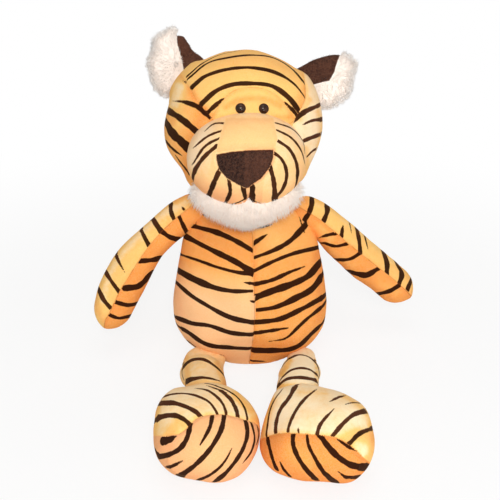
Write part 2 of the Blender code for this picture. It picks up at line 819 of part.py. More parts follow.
def build_tail():
    root = tail_root()
    path = along_path(root, TAIL_PATH_SHARES, TAIL_LENGTH)
    radii = (TAIL_ROOT_RADIUS, TAIL_RADIUS * TAIL_NARROW_SHARE, TAIL_RADIUS, TAIL_RADIUS)
    form = limb_form(path, radii, TAIL_RINGS, TAIL_SIDES)
    ahead = (path[1] - root).normalized()
    mouth = root - ahead * TAIL_ROOT_RADIUS * TAIL_MOUTH_SHARE
    score(form, [(mouth, ahead)])

    def namer(place):
        return "tail_cover" if (place - mouth).dot(ahead) > 0 else None

    panels(form, namer, {"tail_cover": "orange"}, root)
    filling(form, "tail_stuffing", root)


def build():
    build_torso()
    build_neck()
    neck_room = socket("neck_socket_high", neck_centre(), NECK_RADIUS)
    head_room = build_head(neck_room)
    muzzle_room = build_muzzle(head_room)
    build_chin([neck_room, head_room, muzzle_room])
    build_eyes()
    for side in SIDES:
        build_ear(side, head_room)
        build_arm(side)
        build_leg(side)
        build_foot(side)
    build_tail()


build()
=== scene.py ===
import math

import bpy
import numpy as np
from mathutils import Matrix, Vector
from mathutils.bvhtree import BVHTree


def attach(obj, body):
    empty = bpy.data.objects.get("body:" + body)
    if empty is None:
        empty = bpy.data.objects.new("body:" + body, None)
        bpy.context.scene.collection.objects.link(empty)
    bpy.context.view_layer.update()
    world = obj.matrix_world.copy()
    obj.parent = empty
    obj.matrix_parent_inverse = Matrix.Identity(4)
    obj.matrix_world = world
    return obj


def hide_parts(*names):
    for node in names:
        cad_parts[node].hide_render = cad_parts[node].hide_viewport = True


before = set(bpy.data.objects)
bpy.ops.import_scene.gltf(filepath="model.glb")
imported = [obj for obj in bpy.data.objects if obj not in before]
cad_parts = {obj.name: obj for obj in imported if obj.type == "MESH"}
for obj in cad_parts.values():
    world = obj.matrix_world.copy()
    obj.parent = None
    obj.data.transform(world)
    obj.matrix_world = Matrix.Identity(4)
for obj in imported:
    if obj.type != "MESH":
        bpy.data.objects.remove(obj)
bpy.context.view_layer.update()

MM = 0.001
TURN = 2 * math.pi
STEP = 1.2  # pixels or mm between the places of a traced line
FAR = 9.0  # mm, past any printed edge
rng = np.random.default_rng(7)
SIGN = {"left": 1, "right": -1}
X, Y, Z = np.eye(3)

# The photo's view: its focal length and middle in pixels, its tilt, and its distance from where it aims.
FOCUS, MIDDLE = 900, 250
TILT, AWAY, AIM = math.radians(25), 0.9, 0.118
LENS = 64.8  # mm, the same focal length on Blender's sensor
TURNS_ABOUT = 0.03


class View:
    """The photo's view, or a mirrored one from behind for what it doesn't show."""

    def __init__(self, turn):
        pivot = Matrix.Translation((0, TURNS_ABOUT, 0))
        spin = pivot @ Matrix.Rotation(turn, 4, "Z") @ Matrix.Translation((0, -TURNS_ABOUT, 0))
        self.eye = spin @ Vector((0, -AWAY * math.cos(TILT), AIM + AWAY * math.sin(TILT)))
        self.ahead = (spin @ Vector((0, 0, AIM)) - self.eye).normalized()
        self.side = self.ahead.cross(Vector((0, 0, 1))).normalized()
        self.up = self.side.cross(self.ahead)
        self.flip = 1 if turn == 0 else -1

    def ray(self, px, py):
        across, down = self.side * (px - MIDDLE) * self.flip, self.up * (py - MIDDLE)
        return (self.ahead * FOCUS + across - down).normalized()

    def depth(self, points):
        return (points - np.array(self.eye)) @ np.array(self.ahead)

    def project(self, points):
        away, depth = points - np.array(self.eye), self.depth(points)
        across, rise = away @ np.array(self.side) * self.flip, away @ np.array(self.up)
        return np.stack([MIDDLE + FOCUS * across / depth, MIDDLE - FOCUS * rise / depth], 1)

    def point(self, px, py, depth):
        """The place that a pixel shows at a distance along the view."""
        way = self.ray(px, py)
        return self.eye + way * depth / way.dot(self.ahead)


FRONT, BACK = View(0), View(math.pi)


def unit(ways):
    return ways / np.linalg.norm(ways, axis=-1, keepdims=True)


def bell(gap, reach):
    """One where the gap is nought, falling to nothing past the reach."""
    return np.exp(-(gap / reach) ** 2)


def portion(value):
    return np.clip(value, 0, 1)


def curve(rows, places):
    """Rows of a table read smoothly at places of its first column."""
    table = np.array(rows, float)
    at = table[:, 0]
    slope = np.gradient(table, at, axis=0)
    left = np.clip(np.searchsorted(at, places, side="right") - 1, 0, len(at) - 2)
    width = (at[left + 1] - at[left])[:, None]
    t = ((np.asarray(places) - at[left])[:, None]) / width
    return (
        (2 * t**3 - 3 * t**2 + 1) * table[left] + (t**3 - 2 * t**2 + t) * width * slope[left]
        + (3 * t**2 - 2 * t**3) * table[left + 1] + (t**3 - t**2) * width * slope[left + 1])


def spots(row):
    """Pixels out of a row of numbers, x and y in turn."""
    return np.array(row, float).reshape(-1, 2)


def closed(row):
    return row + row[:2]


def line(row, step=STEP):
    """A smooth line of pixels through a few picked ones."""
    picked = spots(row)
    at = np.concatenate([[0], np.cumsum(np.linalg.norm(np.diff(picked, axis=0), axis=1))])
    count = max(int(at[-1] / step), 3)
    if len(picked) == 2:
        share = np.linspace(0, 1, count)[:, None]
        return picked[0] * (1 - share) + picked[1] * share
    return curve(np.column_stack([at, picked]), np.linspace(0, at[-1], count))[:, 1:]


def inside(pixels, row):
    """Signed distance in pixels to a closed line, negative inside it."""
    ring = spots(row)
    gap = np.full(len(pixels), 1e9)
    odd = np.zeros(len(pixels), bool)
    for a, b in zip(ring, np.roll(ring, -1, axis=0)):
        edge = b - a
        share = portion(((pixels - a) @ edge) / max(edge @ edge, 1e-9))
        gap = np.minimum(gap, np.linalg.norm(pixels - a - share[:, None] * edge, axis=1))
        if a[1] != b[1]:
            cross = (a[1] > pixels[:, 1]) != (b[1] > pixels[:, 1])
            odd ^= cross & (pixels[:, 0] < (b[0] - a[0]) * (pixels[:, 1] - a[1]) / (b[1] - a[1]) + a[0])
    return np.where(odd, -gap, gap)


def ripple(points, size, seed):
    """A smooth lumpy field from -1 to 1 over points, with lumps of a size in mm."""
    turn = np.random.default_rng(seed)
    total = np.zeros(len(points))
    for _ in range(6):
        way = turn.normal(size=3)
        way = way / np.linalg.norm(way) * TURN / (size * MM) * turn.uniform(0.6, 1.5)
        total += np.sin(points @ way + turn.uniform(0, 6.3))
    return total / 6


def ripples(points, *waves):
    """Ripples added up: each has its size, seed and depth."""
    return sum(ripple(points, size, seed) * depth for size, seed, depth in waves)


def half_widths(widths, share, ends):
    """Half widths along a stripe that tapers (t) or stays blunt (b) at its first and last point."""
    widths = np.atleast_1d(widths)
    half = np.interp(share, np.linspace(0, 1, len(widths)), widths) / 2
    half = half * (1 + 0.10 * np.sin(share * 17 + widths[0] * 9) + 0.07 * np.sin(share * 41 + widths[0] * 5))
    for end, inward in zip(ends, (share, 1 - share)):
        if end == "t":
            half = half * np.minimum(1, 0.14 + inward / 0.42) ** 0.8
    return half


def cap(ring, pole):
    """Rings that close a form's end, rounded from its last ring to its pole."""
    ring, pole = np.array(ring), np.array(pole)
    centre = ring.mean(0)
    out, up = ring - centre, pole - centre
    count = max(int(np.linalg.norm(out, axis=1).max() / (1.2 * MM)), 1)
    turns = (np.arange(count) + 1) / (count + 1) * math.pi / 2
    return np.array([centre + out * math.cos(turn) + up * math.sin(turn) for turn in turns])


def piece(name, points, faces, fields, material, body):
    """A smooth mesh on one of the frame's bodies, with named numbers at its points."""
    mesh = bpy.data.meshes.new(name)
    mesh.from_pydata(points.tolist(), [], faces)
    for field, values in fields.items():
        mesh.attributes.new(field, "FLOAT", "POINT").data.foreach_set("value", values.astype(np.float32))
    mesh.shade_smooth()
    mesh.materials.append(material)
    item = bpy.data.objects.new(name, mesh)
    bpy.context.scene.collection.objects.link(item)
    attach(item, body)
    return item


class Skin:
    """A closed dense form. Stripes, seams, brown cloth, tone and blush are numbers at its points:
    the first three are distances in mm, negative inside."""

    FIELDS = ("stripe", "seam", "tone", "blush", "brown")

    def __init__(self, name, rings, first, last, matrix=None, tube=False):
        grid = np.concatenate([cap(rings[0], first)[::-1], np.array(rings), cap(rings[-1], last)])
        self.name, self.tube = name, tube
        self.nv, self.nu = nv, nu = grid.shape[:2]
        self.points = np.concatenate([grid.reshape(-1, 3), [first, last]])
        if matrix is not None:
            turn = np.array(matrix)
            self.points = self.points @ turn[:3, :3].T + turn[:3, 3]
        a = np.arange((nv - 1) * nu).reshape(nv - 1, nu)
        b = np.roll(a, -1, axis=1)
        self.quads = np.stack([a, b, b + nu, a + nu], -1).reshape(-1, 4)
        low, high = a[0], a[0] + (nv - 1) * nu
        self.tips = np.concatenate([
            np.stack([np.roll(low, -1), low, np.full(nu, nv * nu)], 1),
            np.stack([high, np.roll(high, -1), np.full(nu, nv * nu + 1)], 1)])
        self.refresh()
        if np.einsum("ij,ij->i", self.normals, self.points - self.points.mean(0)).mean() < 0:
            self.quads, self.tips = self.quads[:, ::-1], self.tips[:, ::-1]
            self.refresh()
        count = len(self.points)
        self.stripe, self.seam, self.brown = (np.full(count, FAR) for _ in range(3))
        self.tone, self.blush, self.zone = np.full(count, 0.5), np.zeros(count), np.zeros(count, int)

    @property
    def rings(self):
        return self.points[:-2].reshape(self.nv, self.nu, 3)

    def refresh(self):
        """Works out the normals and the search tree from the points."""
        p = self.points
        triangles = np.concatenate([self.quads[:, [0, 1, 2]], self.quads[:, [0, 2, 3]], self.tips])
        face = np.cross(p[triangles[:, 1]] - p[triangles[:, 0]], p[triangles[:, 2]] - p[triangles[:, 0]])
        normals = np.zeros_like(p)
        for k in range(3):
            np.add.at(normals, triangles[:, k], face)
        self.normals = normals / np.maximum(np.linalg.norm(normals, axis=1), 1e-12)[:, None]
        self.tree = BVHTree.FromPolygons(p.tolist(), self.quads.tolist() + self.tips.tolist())

    def push(self, depth):
        """Moves the surface out by a depth in mm at each point."""
        self.points = self.points + self.normals * (np.asarray(depth) * MM)[:, None]
        self.refresh()

    def fit(self, outline):
        """Draws the form's outline, as the photo's view sees it, out or in to lines of pixels."""
        bins = 90
        edge = np.concatenate([line(part, 0.7) for part in outline])
        middle = edge.mean(0)

        def turn_and_reach(pixels):
            angle = (np.arctan2(pixels[:, 1], pixels[:, 0]) / TURN % 1) * bins
            reach = np.linalg.norm(pixels, axis=1)
            most = np.zeros(bins)
            np.maximum.at(most, angle.astype(int) % bins, reach)
            return angle, reach, most

        spot = self.pixels() - middle
        angle, reach, now = turn_and_reach(spot)
        goal = turn_and_reach(edge - middle)[2]
        ratio = np.where(goal > 0, goal / now, 1)
        ratio = (np.roll(ratio, 1) + 2 * ratio + np.roll(ratio, -1)) / 4
        at = np.arange(-1, bins + 1) + 0.5
        ratio, limit = (np.interp(angle, at, np.concatenate([row[-1:], row, row[:1]])) for row in (ratio, now))
        move = spot * ((ratio - 1) * (reach / limit) ** 2)[:, None]
        self.points = self.points + (FRONT.depth(self.points) / FOCUS)[:, None] * (
            move[:, :1] * np.array(FRONT.side) - move[:, 1:] * np.array(FRONT.up))
        self.settle()

    def fit_tube(self, *edges):
        """Draws a limb's rings to lie between its two edges, as the photo's view sees them."""
        grid = self.rings
        centres = grid.mean(1)
        middles = FRONT.project(centres)
        ways = unit(np.gradient(middles, axis=0))
        across = np.stack([-ways[:, 1], ways[:, 0]], 1)
        rims = FRONT.project(grid.reshape(-1, 3)).reshape(self.nv, self.nu, 2) - middles[:, None]
        reach = np.einsum("ijk,ik->ij", rims, across)
        high, low = reach.max(1), reach.min(1)
        rows = np.arange(self.nv)
        found = []
        for edge in edges:
            gap = line(edge, 0.5)[None] - middles[:, None]
            along = np.abs(np.einsum("ijk,ik->ij", gap, ways))
            value = np.einsum("ijk,ik->ij", gap, across)[rows, along.argmin(1)]
            found.append(np.where(along.min(1) < 1.2, value, np.nan))
        found = np.sort(np.array(found), axis=0)
        good = ~np.isnan(found).any(0) & (high - low > 0.6 * (high - low).max())

        def eased(values):
            filled = np.interp(rows, rows[good], values[good])
            return np.convolve(np.pad(filled, 7, "edge"), np.ones(15) / 15, "valid")

        shift = eased((found[1] + found[0] - high - low) / 2)
        ratio = eased((found[1] - found[0]) / (high - low))
        move = (across * (shift * (FRONT.depth(centres) / FOCUS))[:, None]) @ np.array([FRONT.side, -FRONT.up])
        grid = centres[:, None] + (grid - centres[:, None]) * ratio[:, None, None] + move[:, None]
        self.points = np.concatenate([grid.reshape(-1, 3), self.points[-2:] + move[[0, -1]]])
        self.settle()

    def settle(self):
        """Keeps the form on the floor: what would sink slides out along the view instead."""
        eye = np.array(FRONT.eye)
        low = self.points[:, 2] < 0
        way = self.points[low] - eye
        self.points[low] = eye + way * (-eye[2] / way[:, 2])[:, None]
        self.refresh()

    def flatten(self):
        """Presses what lies under the floor up to it."""
        self.points[:, 2] = np.maximum(self.points[:, 2], 0.0)
        self.refresh()

    def pixels(self, view=FRONT):
        return view.project(self.points)

    def seen(self, view=FRONT):
        return np.einsum("ij,ij->i", self.normals, unit(self.points - np.array(view.eye))) < 0.05

    def trace(self, row, view=FRONT):
        """The places that a line of pixels shows."""
        hits = (self.tree.ray_cast(view.eye, view.ray(px, py))[0] for px, py in line(row))
        return [hit for hit in hits if hit is not None]

    def onward(self, hits, length):
        """Carries a traced line on over the form by a length in mm, past what the view shows."""
        hits = list(hits)
        start = hits[-min(7, len(hits))]
        if not self.tube:
            way = (hits[-1] - start).normalized()
            for _ in range(int(length / STEP)):
                found = self.tree.find_nearest(hits[-1] + way * STEP * MM)[0]
                way = (way * 0.3 + (found - hits[-1]).normalized() * 0.7).normalized()
                hits.append(found)
            return hits
        grid = self.rings
        (row0, col0), (row, col) = (
            np.unravel_index(np.linalg.norm(grid - np.array(spot), axis=2).argmin(), grid.shape[:2])
            for spot in (start, hits[-1]))
        turn = (col - col0 + self.nu // 2) % self.nu - self.nu // 2
        step = 1 if turn > 0 else -1
        slope = min(max((row - row0) / max(abs(turn), 1), -0.3), 0.3)
        here = float(row)
        for k in range(int(length / 1000 / np.linalg.norm(grid[row, col] - grid[row, (col + 1) % self.nu]))):
            here += slope * 0.88**k
            low = min(max(int(here), 0), self.nv - 2)
            share = min(max(here - low, 0), 1)
            place = (col + step * (k + 1)) % self.nu
            hits.append(Vector(grid[low, place] * (1 - share) + grid[low + 1, place] * share))
        return hits

    def nearest(self, samples, widths=0.0, chosen=True):
        """Distance in mm from each point to a line of discs, less their half widths."""
        result = np.full(len(self.points), FAR)
        samples = np.array(samples)
        low, high = samples.min(0) - 8 * MM, samples.max(0) + 8 * MM
        index = np.nonzero(np.all((self.points > low) & (self.points < high), axis=1) & chosen)[0]
        for part in np.array_split(index, max(len(index) // 4000, 1)):
            if len(part):
                gap = np.linalg.norm(self.points[part][:, None] - samples[None], axis=2) * 1000 - widths
                result[part] = gap.min(1)
        return result

    def stretch(self, row, view):
        """Millimetres of surface under a pixel across a line, at each traced place."""
        picked = line(row)
        scale = []
        for (px, py), (wx, wy) in zip(picked, unit(np.gradient(picked, axis=0))):
            hit, *pair = [
                self.tree.ray_cast(view.eye, view.ray(px - wy * k, py + wx * k))[0] for k in (0, -0.6, 0.6)]
            if hit is not None:
                gaps = [(other - hit).length * 1000 / 0.6 for other in pair if other is not None]
                scale.append(min(max(min(gaps, default=1), 0.75), 1.5))
        return scale

    def print_lines(self, samples, half, chosen=True):
        self.stripe = np.minimum(self.stripe, self.nearest(samples, half, chosen))

    def add_stripes(self, table, zone=None, view=FRONT):
        """Each row has its ends (t tapers, b is blunt), its width in the photo's pixels as one number
        or several along it, its picked pixels, and the mm it is carried on past each end."""
        for ends, width, row, more in table:
            hits = self.trace(row, view)
            if len(hits) < 4:
                continue
            count = len(hits)
            if more[0]:
                hits = self.onward(hits[::-1], more[0])[::-1]
            before = len(hits) - count
            if more[1]:
                hits = self.onward(hits, more[1])
            place = np.arange(len(hits)) - before
            scale = np.array(self.stretch(row, view))[np.clip(place, 0, count - 1)]
            beyond = (place < 0) | (place >= count)
            scale[beyond] = np.minimum(scale[beyond], 1)
            half = half_widths(width, np.linspace(0, 1, len(hits)), ends) * scale - 0.08
            self.print_lines(hits, np.maximum(half, 0.02), True if zone is None else self.zone == zone)

    def part_by_seam(self, row):
        """Halves a tube by a traced seam and one opposite: zone 0 above it and 1 below."""
        grid = self.rings
        samples = np.array(self.trace(row))
        turns, rows = [], []
        for number in range(self.nv):
            gap = np.linalg.norm(grid[number][:, None] - samples[None], axis=2)
            best = np.unravel_index(np.argmin(gap), gap.shape)
            if gap[best] < 1.5 * MM:
                rows.append(number)
                turns.append(best[0] / self.nu * TURN)
        fit = np.polyfit(rows, np.unwrap(turns), 3)
        seam = np.polyval(fit, np.clip(np.arange(self.nv), rows[0], rows[-1]))[:, None]
        gap = (np.arange(self.nu)[None] / self.nu * TURN - seam + 2 * TURN) % TURN
        radius = np.linalg.norm(grid - grid.mean(1, keepdims=True), axis=2)
        edge = np.minimum(np.minimum(gap, TURN - gap), np.abs(gap - math.pi)) * radius * 1000
        first = gap < math.pi
        rise = self.normals[:-2, 2].reshape(self.nv, self.nu)
        if rise[first].mean() < rise[~first].mean():
            first = ~first
        self.zone[:-2] = np.where(first, 0, 1).ravel()
        self.seam[:-2] = edge.ravel()

    def band(self, row, width, sway, phase):
        """A stripe right round a tube, near one of its rows."""
        grid = self.rings
        turn = np.arange(self.nu) / self.nu * TURN + phase
        rows = row + sway * np.sin(turn) + sway * 0.4 * np.sin(turn * 2 + 1)
        low = np.clip(rows.astype(int), 0, self.nv - 2)
        share = (rows - low)[:, None]
        hits = grid[low, np.arange(self.nu)] * (1 - share) + grid[low + 1, np.arange(self.nu)] * share
        half = width / 2 * (0.75 + 0.35 * np.cos(turn + phase) + 0.08 * np.sin(turn * 7))
        self.print_lines(hits, np.maximum(half, 0.3))

    def paint_light_and_tone(self, strokes, view=FRONT):
        """Deepens or pales the cloth near lines of pixels, on the faces a view sees: painted shade along edges,
        folds and contacts, painted highlights on rounded middles, and patches of deeper or paler cloth. Each
        has its pixels, reach and amount.
        """
        spot = self.pixels(view)
        near = np.nonzero(self.seen(view))[0]
        for row, reach, amount in strokes:
            gap = np.min([np.linalg.norm(spot[near] - place, axis=1) for place in line(row, 3)], axis=0)
            self.tone[near] += amount * bell(gap, reach)

    def add_seam(self, row):
        self.seam = np.minimum(self.seam, self.nearest(self.trace(row)))

    def build(self, material, body, replaced, slot="striped_fabric"):
        """Makes the piece, with its deep brown faces in dark pile."""
        fields = {name: getattr(self, name) for name in self.FIELDS}
        faces = self.quads.tolist() + self.tips.tolist()
        item = piece(self.name, self.points, faces, fields, material, body)
        if self.brown.min() < -1 and material is not DARK_PILE:
            item.data.materials.append(DARK_PILE)
            deep = self.brown < -0.9
            item.data.polygons.foreach_set("material_index", np.concatenate([
                deep[self.quads].all(1), deep[self.tips].all(1)]).astype(np.int32))
        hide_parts(*replaced)


# Materials.
def linear(red, green, blue):
    """A colour of the picture, from 0 to 255, as a shader takes it."""
    shares = (c / 255 for c in (red, green, blue))
    return tuple(((c + 0.055) / 1.055) ** 2.4 if c > 0.0400 else c / 12.92 for c in shares) + (1,)


class Shade:
    """A material, its Principled shader's sockets by name, and short ways to add nodes."""

    def __init__(self, name, **sockets):
        self.made = bpy.data.materials.new(name)
        self.made.use_nodes = True
        self.tree = self.made.node_tree
        self.body = self.tree.nodes["Principled BSDF"]
        self.place = self.add("ShaderNodeTexCoord").outputs["Object"]
        self.set(self.body, **sockets)

    @staticmethod
    def set(item, **sockets):
        for name, value in sockets.items():
            item.inputs[name.replace("_", " ")].default_value = value

    def add(self, kind, **values):
        item = self.tree.nodes.new(kind)
        for key, value in values.items():
            setattr(item, key, value)
        return item

    def join(self, a, b):
        self.tree.links.new(a, b)

    def feed(self, values):
        """Links or sets each socket of a node in turn."""
        for socket, value in values:
            if isinstance(value, (int, float, tuple)):
                socket.default_value = value
            else:
                self.join(value, socket)

    def noise(self, scale, detail=3, rough=0.55):
        item = self.add("ShaderNodeTexNoise")
        self.set(item, Scale=scale, Detail=detail, Roughness=rough)
        self.join(self.place, item.inputs["Vector"])
        return item.outputs["Fac"]

    def math(self, kind, a, b=0.0, clamp=False):
        item = self.add("ShaderNodeMath", operation=kind, use_clamp=clamp)
        self.feed(zip(item.inputs, (a, b)))
        return item.outputs[0]

    def stir(self, value, noise, amount, clamp=False):
        """Adds a noise to a value, centred on nought."""
        return self.math("ADD", value, self.math("MULTIPLY", self.math("SUBTRACT", noise, 0.5), amount), clamp)

    def span(self, value, low, high, to_low=0.0, to_high=1.0):
        item = self.add("ShaderNodeMapRange", interpolation_type="SMOOTHSTEP")
        self.feed(zip(item.inputs, (value, low, high, to_low, to_high)))
        return item.outputs[0]

    def mix(self, share, a, b):
        item = self.add("ShaderNodeMix", data_type="RGBA", blend_type="MIX")
        self.feed(((item.inputs[0], share), (item.inputs[6], a), (item.inputs[7], b)))
        return item.outputs[2]

    def field(self, name):
        return self.add("ShaderNodeAttribute", attribute_name=name).outputs["Fac"]

    def brown(self):
        """Share of brown cloth, with an uneven edge."""
        return self.span(self.stir(self.field("brown"), self.noise(500), 1.2), -0.4, 0.4, 1.0, 0.0)

    def paint(self, colour):
        self.join(colour, self.body.inputs["Base Color"])

    def bump(self, height, strength, distance):
        item = self.add("ShaderNodeBump")
        self.set(item, Strength=strength, Distance=distance)
        self.join(height, item.inputs["Height"])
        self.join(item.outputs[0], self.body.inputs["Normal"])


CLOTH = (
    linear(254, 230, 190), linear(250, 194, 102), linear(247, 174, 84),
    linear(240, 153, 56), linear(232, 135, 38))
STRIPE = linear(68, 27, 9), linear(33, 7, 2)


def velboa():
    """Short pile plush: orange with printed stripes, and dark brown where the field says."""
    s = Shade("velboa", Roughness=0.85, Specular_IOR_Level=0.06, Sheen_Weight=0.05, Sheen_Roughness=0.4,
              Sheen_Tint=linear(255, 190, 120))
    grain, nap = s.noise(1400, 2), s.noise(240, 4)
    tone = s.field("tone")
    for wave, amount in ((s.noise(26, 1, 0.4), 0.2), (s.noise(95), 0.15), (nap, 0.2)):
        tone = s.stir(tone, wave, amount)
    # Painted shade: the cloth is deeper within a few mm of each seam, as in the shade of its crease.
    tone = s.math("ADD", tone, s.span(s.field("seam"), 0.5, 5.0, 0.13, 0.0), True)
    ramp = s.add("ShaderNodeValToRGB")
    s.join(tone, ramp.inputs[0])
    stops = ramp.color_ramp.elements
    stops[0].color, stops[1].color = CLOTH[0], CLOTH[-1]
    for number, colour in enumerate(CLOTH[1:-1]):
        stops.new((number + 1) / (len(CLOTH) - 1)).color = colour
    cloth = s.mix(s.field("blush"), ramp.outputs[0], linear(249, 201, 158))
    cloth = s.mix(s.span(grain, 0.25, 0.75, 0, 0.2), cloth, linear(255, 236, 204))
    ink = s.mix(s.span(s.stir(s.field("tone"), s.noise(60, 2), 0.5), 0.02, 0.45), *STRIPE)
    cloth = s.mix(s.span(s.stir(s.field("stripe"), s.noise(1000), 0.8), 0.2, 0.75, 0.98, 0.0), cloth, ink)
    dark = s.mix(s.span(s.noise(900), 0.3, 0.75), linear(52, 27, 20), linear(74, 43, 33))
    cloth = s.mix(s.brown(), cloth, dark)
    s.paint(s.mix(s.span(s.field("seam"), 0.1, 0.9, 0.38, 0.0), cloth, linear(132, 70, 34)))
    s.bump(s.math("ADD", s.math("MULTIPLY", grain, 0.6), nap), 0.45, 0.0007)
    return s.made


def fur(name, root, tip, sheen, glow):
    """Strand colours from root to tip; the glow stands in for light that passes through thin strands."""
    s = Shade(name, Roughness=0.7, Specular_IOR_Level=0.3, Sheen_Weight=sheen, Emission_Color=tip,
              Emission_Strength=glow)
    s.paint(s.mix(s.stir(s.field("along"), s.noise(160), 0.5, True), root, tip))
    return s.made


def plastic():
    s = Shade("eye_gloss", Roughness=0.05, Specular_IOR_Level=0.34, Specular_Tint=(1.0, 0.78, 0.62, 1))
    s.paint(s.mix(s.span(s.noise(300, 2), 0.3, 0.7), linear(6, 2, 1), linear(52, 22, 9)))
    return s.made


def dark_pile():
    """Mottled brown plush, with white cloth where the field says."""
    s = Shade("dark_pile", Roughness=0.85, Specular_IOR_Level=0.2, Sheen_Weight=0.3, Sheen_Roughness=0.35,
              Sheen_Tint=linear(190, 140, 110))
    share = s.stir(s.field("tone"), s.noise(150, 4), 1.0)
    dark = s.mix(s.span(share, 0.15, 0.9), linear(32, 14, 8), linear(82, 48, 34))
    dark = s.mix(s.span(s.noise(520), 0.35, 0.7, 0, 0.65), dark, linear(98, 62, 46))
    dark = s.mix(s.span(s.noise(640), 0.5, 0.75, 0, 0.7), dark, linear(26, 11, 7))
    s.paint(s.mix(s.brown(), linear(252, 240, 230), dark))
    s.bump(s.noise(520, 4), 0.7, 0.001)
    return s.made


VELBOA, DARK_PILE, GLOSS = velboa(), dark_pile(), plastic()
WHITE_FUR = fur("white_fur", linear(246, 233, 222), linear(252, 245, 238), 0.7, 0.04)
BROWN_FUR = fur("brown_fur", linear(34, 16, 10), linear(88, 54, 40), 0.1, 0.0)
BUNCH = 6.0  # mm across a small bunch of fur


def tufts(name, roots, ways, lengths, radius, material, body, lean, droop=0.0):
    """Tapered strands that gather in small bunches; every array has one row a strand."""
    count = len(roots)

    def swirl(size, seeds):
        return np.stack([ripple(roots, size, seed) for seed in seeds], 1)

    ways = ways + lean * swirl(BUNCH * 2.2, (31, 32, 33)) + rng.normal(0, 0.10, (count, 3))
    ways[:, 2] -= droop
    ways = unit(ways)
    bend = swirl(BUNCH, (41, 42, 43)) * 0.35
    bend[:, 2] -= droop * 0.8
    side = unit(np.cross(ways, rng.normal(size=(count, 3))))
    other = np.cross(ways, side)
    rows = []
    for share, thick in ((0.0, 1.0), (0.5, 0.8)):
        centre = roots + ways * (lengths * share)[:, None] + bend * (lengths * share**2)[:, None]
        for k in range(3):
            angle = TURN * k / 3
            rows.append(centre + (side * math.cos(angle) + other * math.sin(angle)) * radius * thick)
    rows.append(roots + ways * lengths[:, None] + bend * lengths[:, None])
    base = (np.arange(count) * 7)[:, None]
    sides = ((0, 1), (1, 2), (2, 0))
    corners = [face for k, j in sides for face in ((k, j, 3 + j), (k, 3 + j, 3 + k), (3 + k, 3 + j, 6))]
    faces = np.concatenate([base + np.array([face]) for face in corners])
    along = np.tile([0, 0, 0, 0.6, 0.6, 0.6, 1.0], count)
    piece(name, np.stack(rows, 1).reshape(-1, 3), faces.tolist(), {"along": along}, material, body)


def pile(name, skin, chosen, count, body):
    """Short brown strands that stand on the chosen points of a skin."""
    pick = rng.choice(np.nonzero(chosen)[0], count)
    roots = skin.points[pick] + rng.normal(0, 0.3 * MM, (count, 3)) - skin.normals[pick] * 0.3 * MM
    lengths = rng.uniform(0.6, 1.0, count) * 1.6 * MM
    ways = skin.normals[pick] - Z * 0.5
    tufts(name, roots, ways, lengths, 0.12 * MM, BROWN_FUR, body, 0.5, 0.1)


# Forms, measured as the fixed part is: shares of the size at each level.
LEAN = math.radians(15)
TORSO_HEIGHT, TORSO_WIDTH, TORSO_DEPTH = 0.178, 0.080, 0.054
HEAD_HEIGHT, HEAD_WIDTH, HEAD_DEPTH = 0.072, 0.0795, 0.064
FOOT_LENGTH, FOOT_WIDTH, FOOT_HEIGHT = 0.05, 0.0445, 0.0355
ARM_LENGTH, LEG_LENGTH, TAIL_LENGTH = 0.155, 0.109, 0.120
TORSO_SHARES = (
    (0.00, 0.46, 0.52), (0.07, 0.74, 0.76), (0.17, 0.93, 0.94), (0.32, 1.00, 1.00), (0.46, 0.97, 0.96),
    (0.62, 0.91, 0.87), (0.77, 0.82, 0.66), (0.87, 0.65, 0.45), (0.94, 0.45, 0.34), (1.00, 0.20, 0.22),
)
HEAD_SHARES = (
    (0.00, 0.40, 0.50, -1.00), (0.12, 0.62, 0.68, -0.88), (0.28, 0.82, 0.86, -0.58), (0.46, 0.99, 0.98, -0.12),
    (0.60, 0.98, 1.00, 0.22), (0.76, 0.82, 0.88, 0.62), (0.90, 0.52, 0.58, 0.90), (1.00, 0.22, 0.26, 0.99),
)
FOOT_SHARES = (
    (0.00, 0.34, 0.36, -0.96), (0.15, 0.68, 0.72, -0.76), (0.35, 0.93, 0.95, -0.38), (0.52, 1.00, 1.00, 0.02),
    (0.68, 0.96, 0.96, 0.40), (0.85, 0.70, 0.72, 0.78), (1.00, 0.34, 0.36, 0.97),
)
RISE = np.array([0, math.sin(LEAN), math.cos(LEAN)])
DEPTH = np.array([0, math.cos(LEAN), -math.sin(LEAN)])
LOW = np.array([0, 0, -6 * MM])
HEAD = (
    Matrix.Translation((-0.007, 0.050, 0.234)) @ Matrix.Rotation(math.radians(4), 4, "Z")
    @ Matrix.Rotation(-math.radians(14), 4, "X"))
CHIN = np.array([0, -0.036, -0.066])
MUZZLE = np.array([0, -0.049, -0.031])


def in_head(points):
    return (points - np.array(HEAD.translation)) @ np.array(HEAD.to_3x3())


def covers(part, side=""):
    """Names of the solids that a piece of the scene stands for."""
    return [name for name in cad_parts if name.startswith(part + "_") and name.endswith(side)]


def hoop(centre, side, depth, half_width, half_depth, count):
    angle = np.linspace(0, TURN, count, endpoint=False)[:, None]
    return centre + side * half_width * np.sin(angle) + depth * half_depth * np.cos(angle)


def torso_place(along, width, depth):
    return LOW + RISE * TORSO_HEIGHT * along + X * TORSO_WIDTH * width + DEPTH * TORSO_DEPTH * depth


def ball_skin(name, centre, size, rows, sides, matrix=None):
    """An ellipsoid of half width, half depth and half height."""
    width, depth, height = size
    rings = []
    for k in -np.cos(math.pi * (np.arange(rows) + 1) / (rows + 1)):
        waist = math.sqrt(1 - k * k)
        rings.append(hoop(centre + Z * height * k, X, Y, width * waist, depth * waist, sides))
    return Skin(name, rings, centre - Z * height, centre + Z * height, matrix)


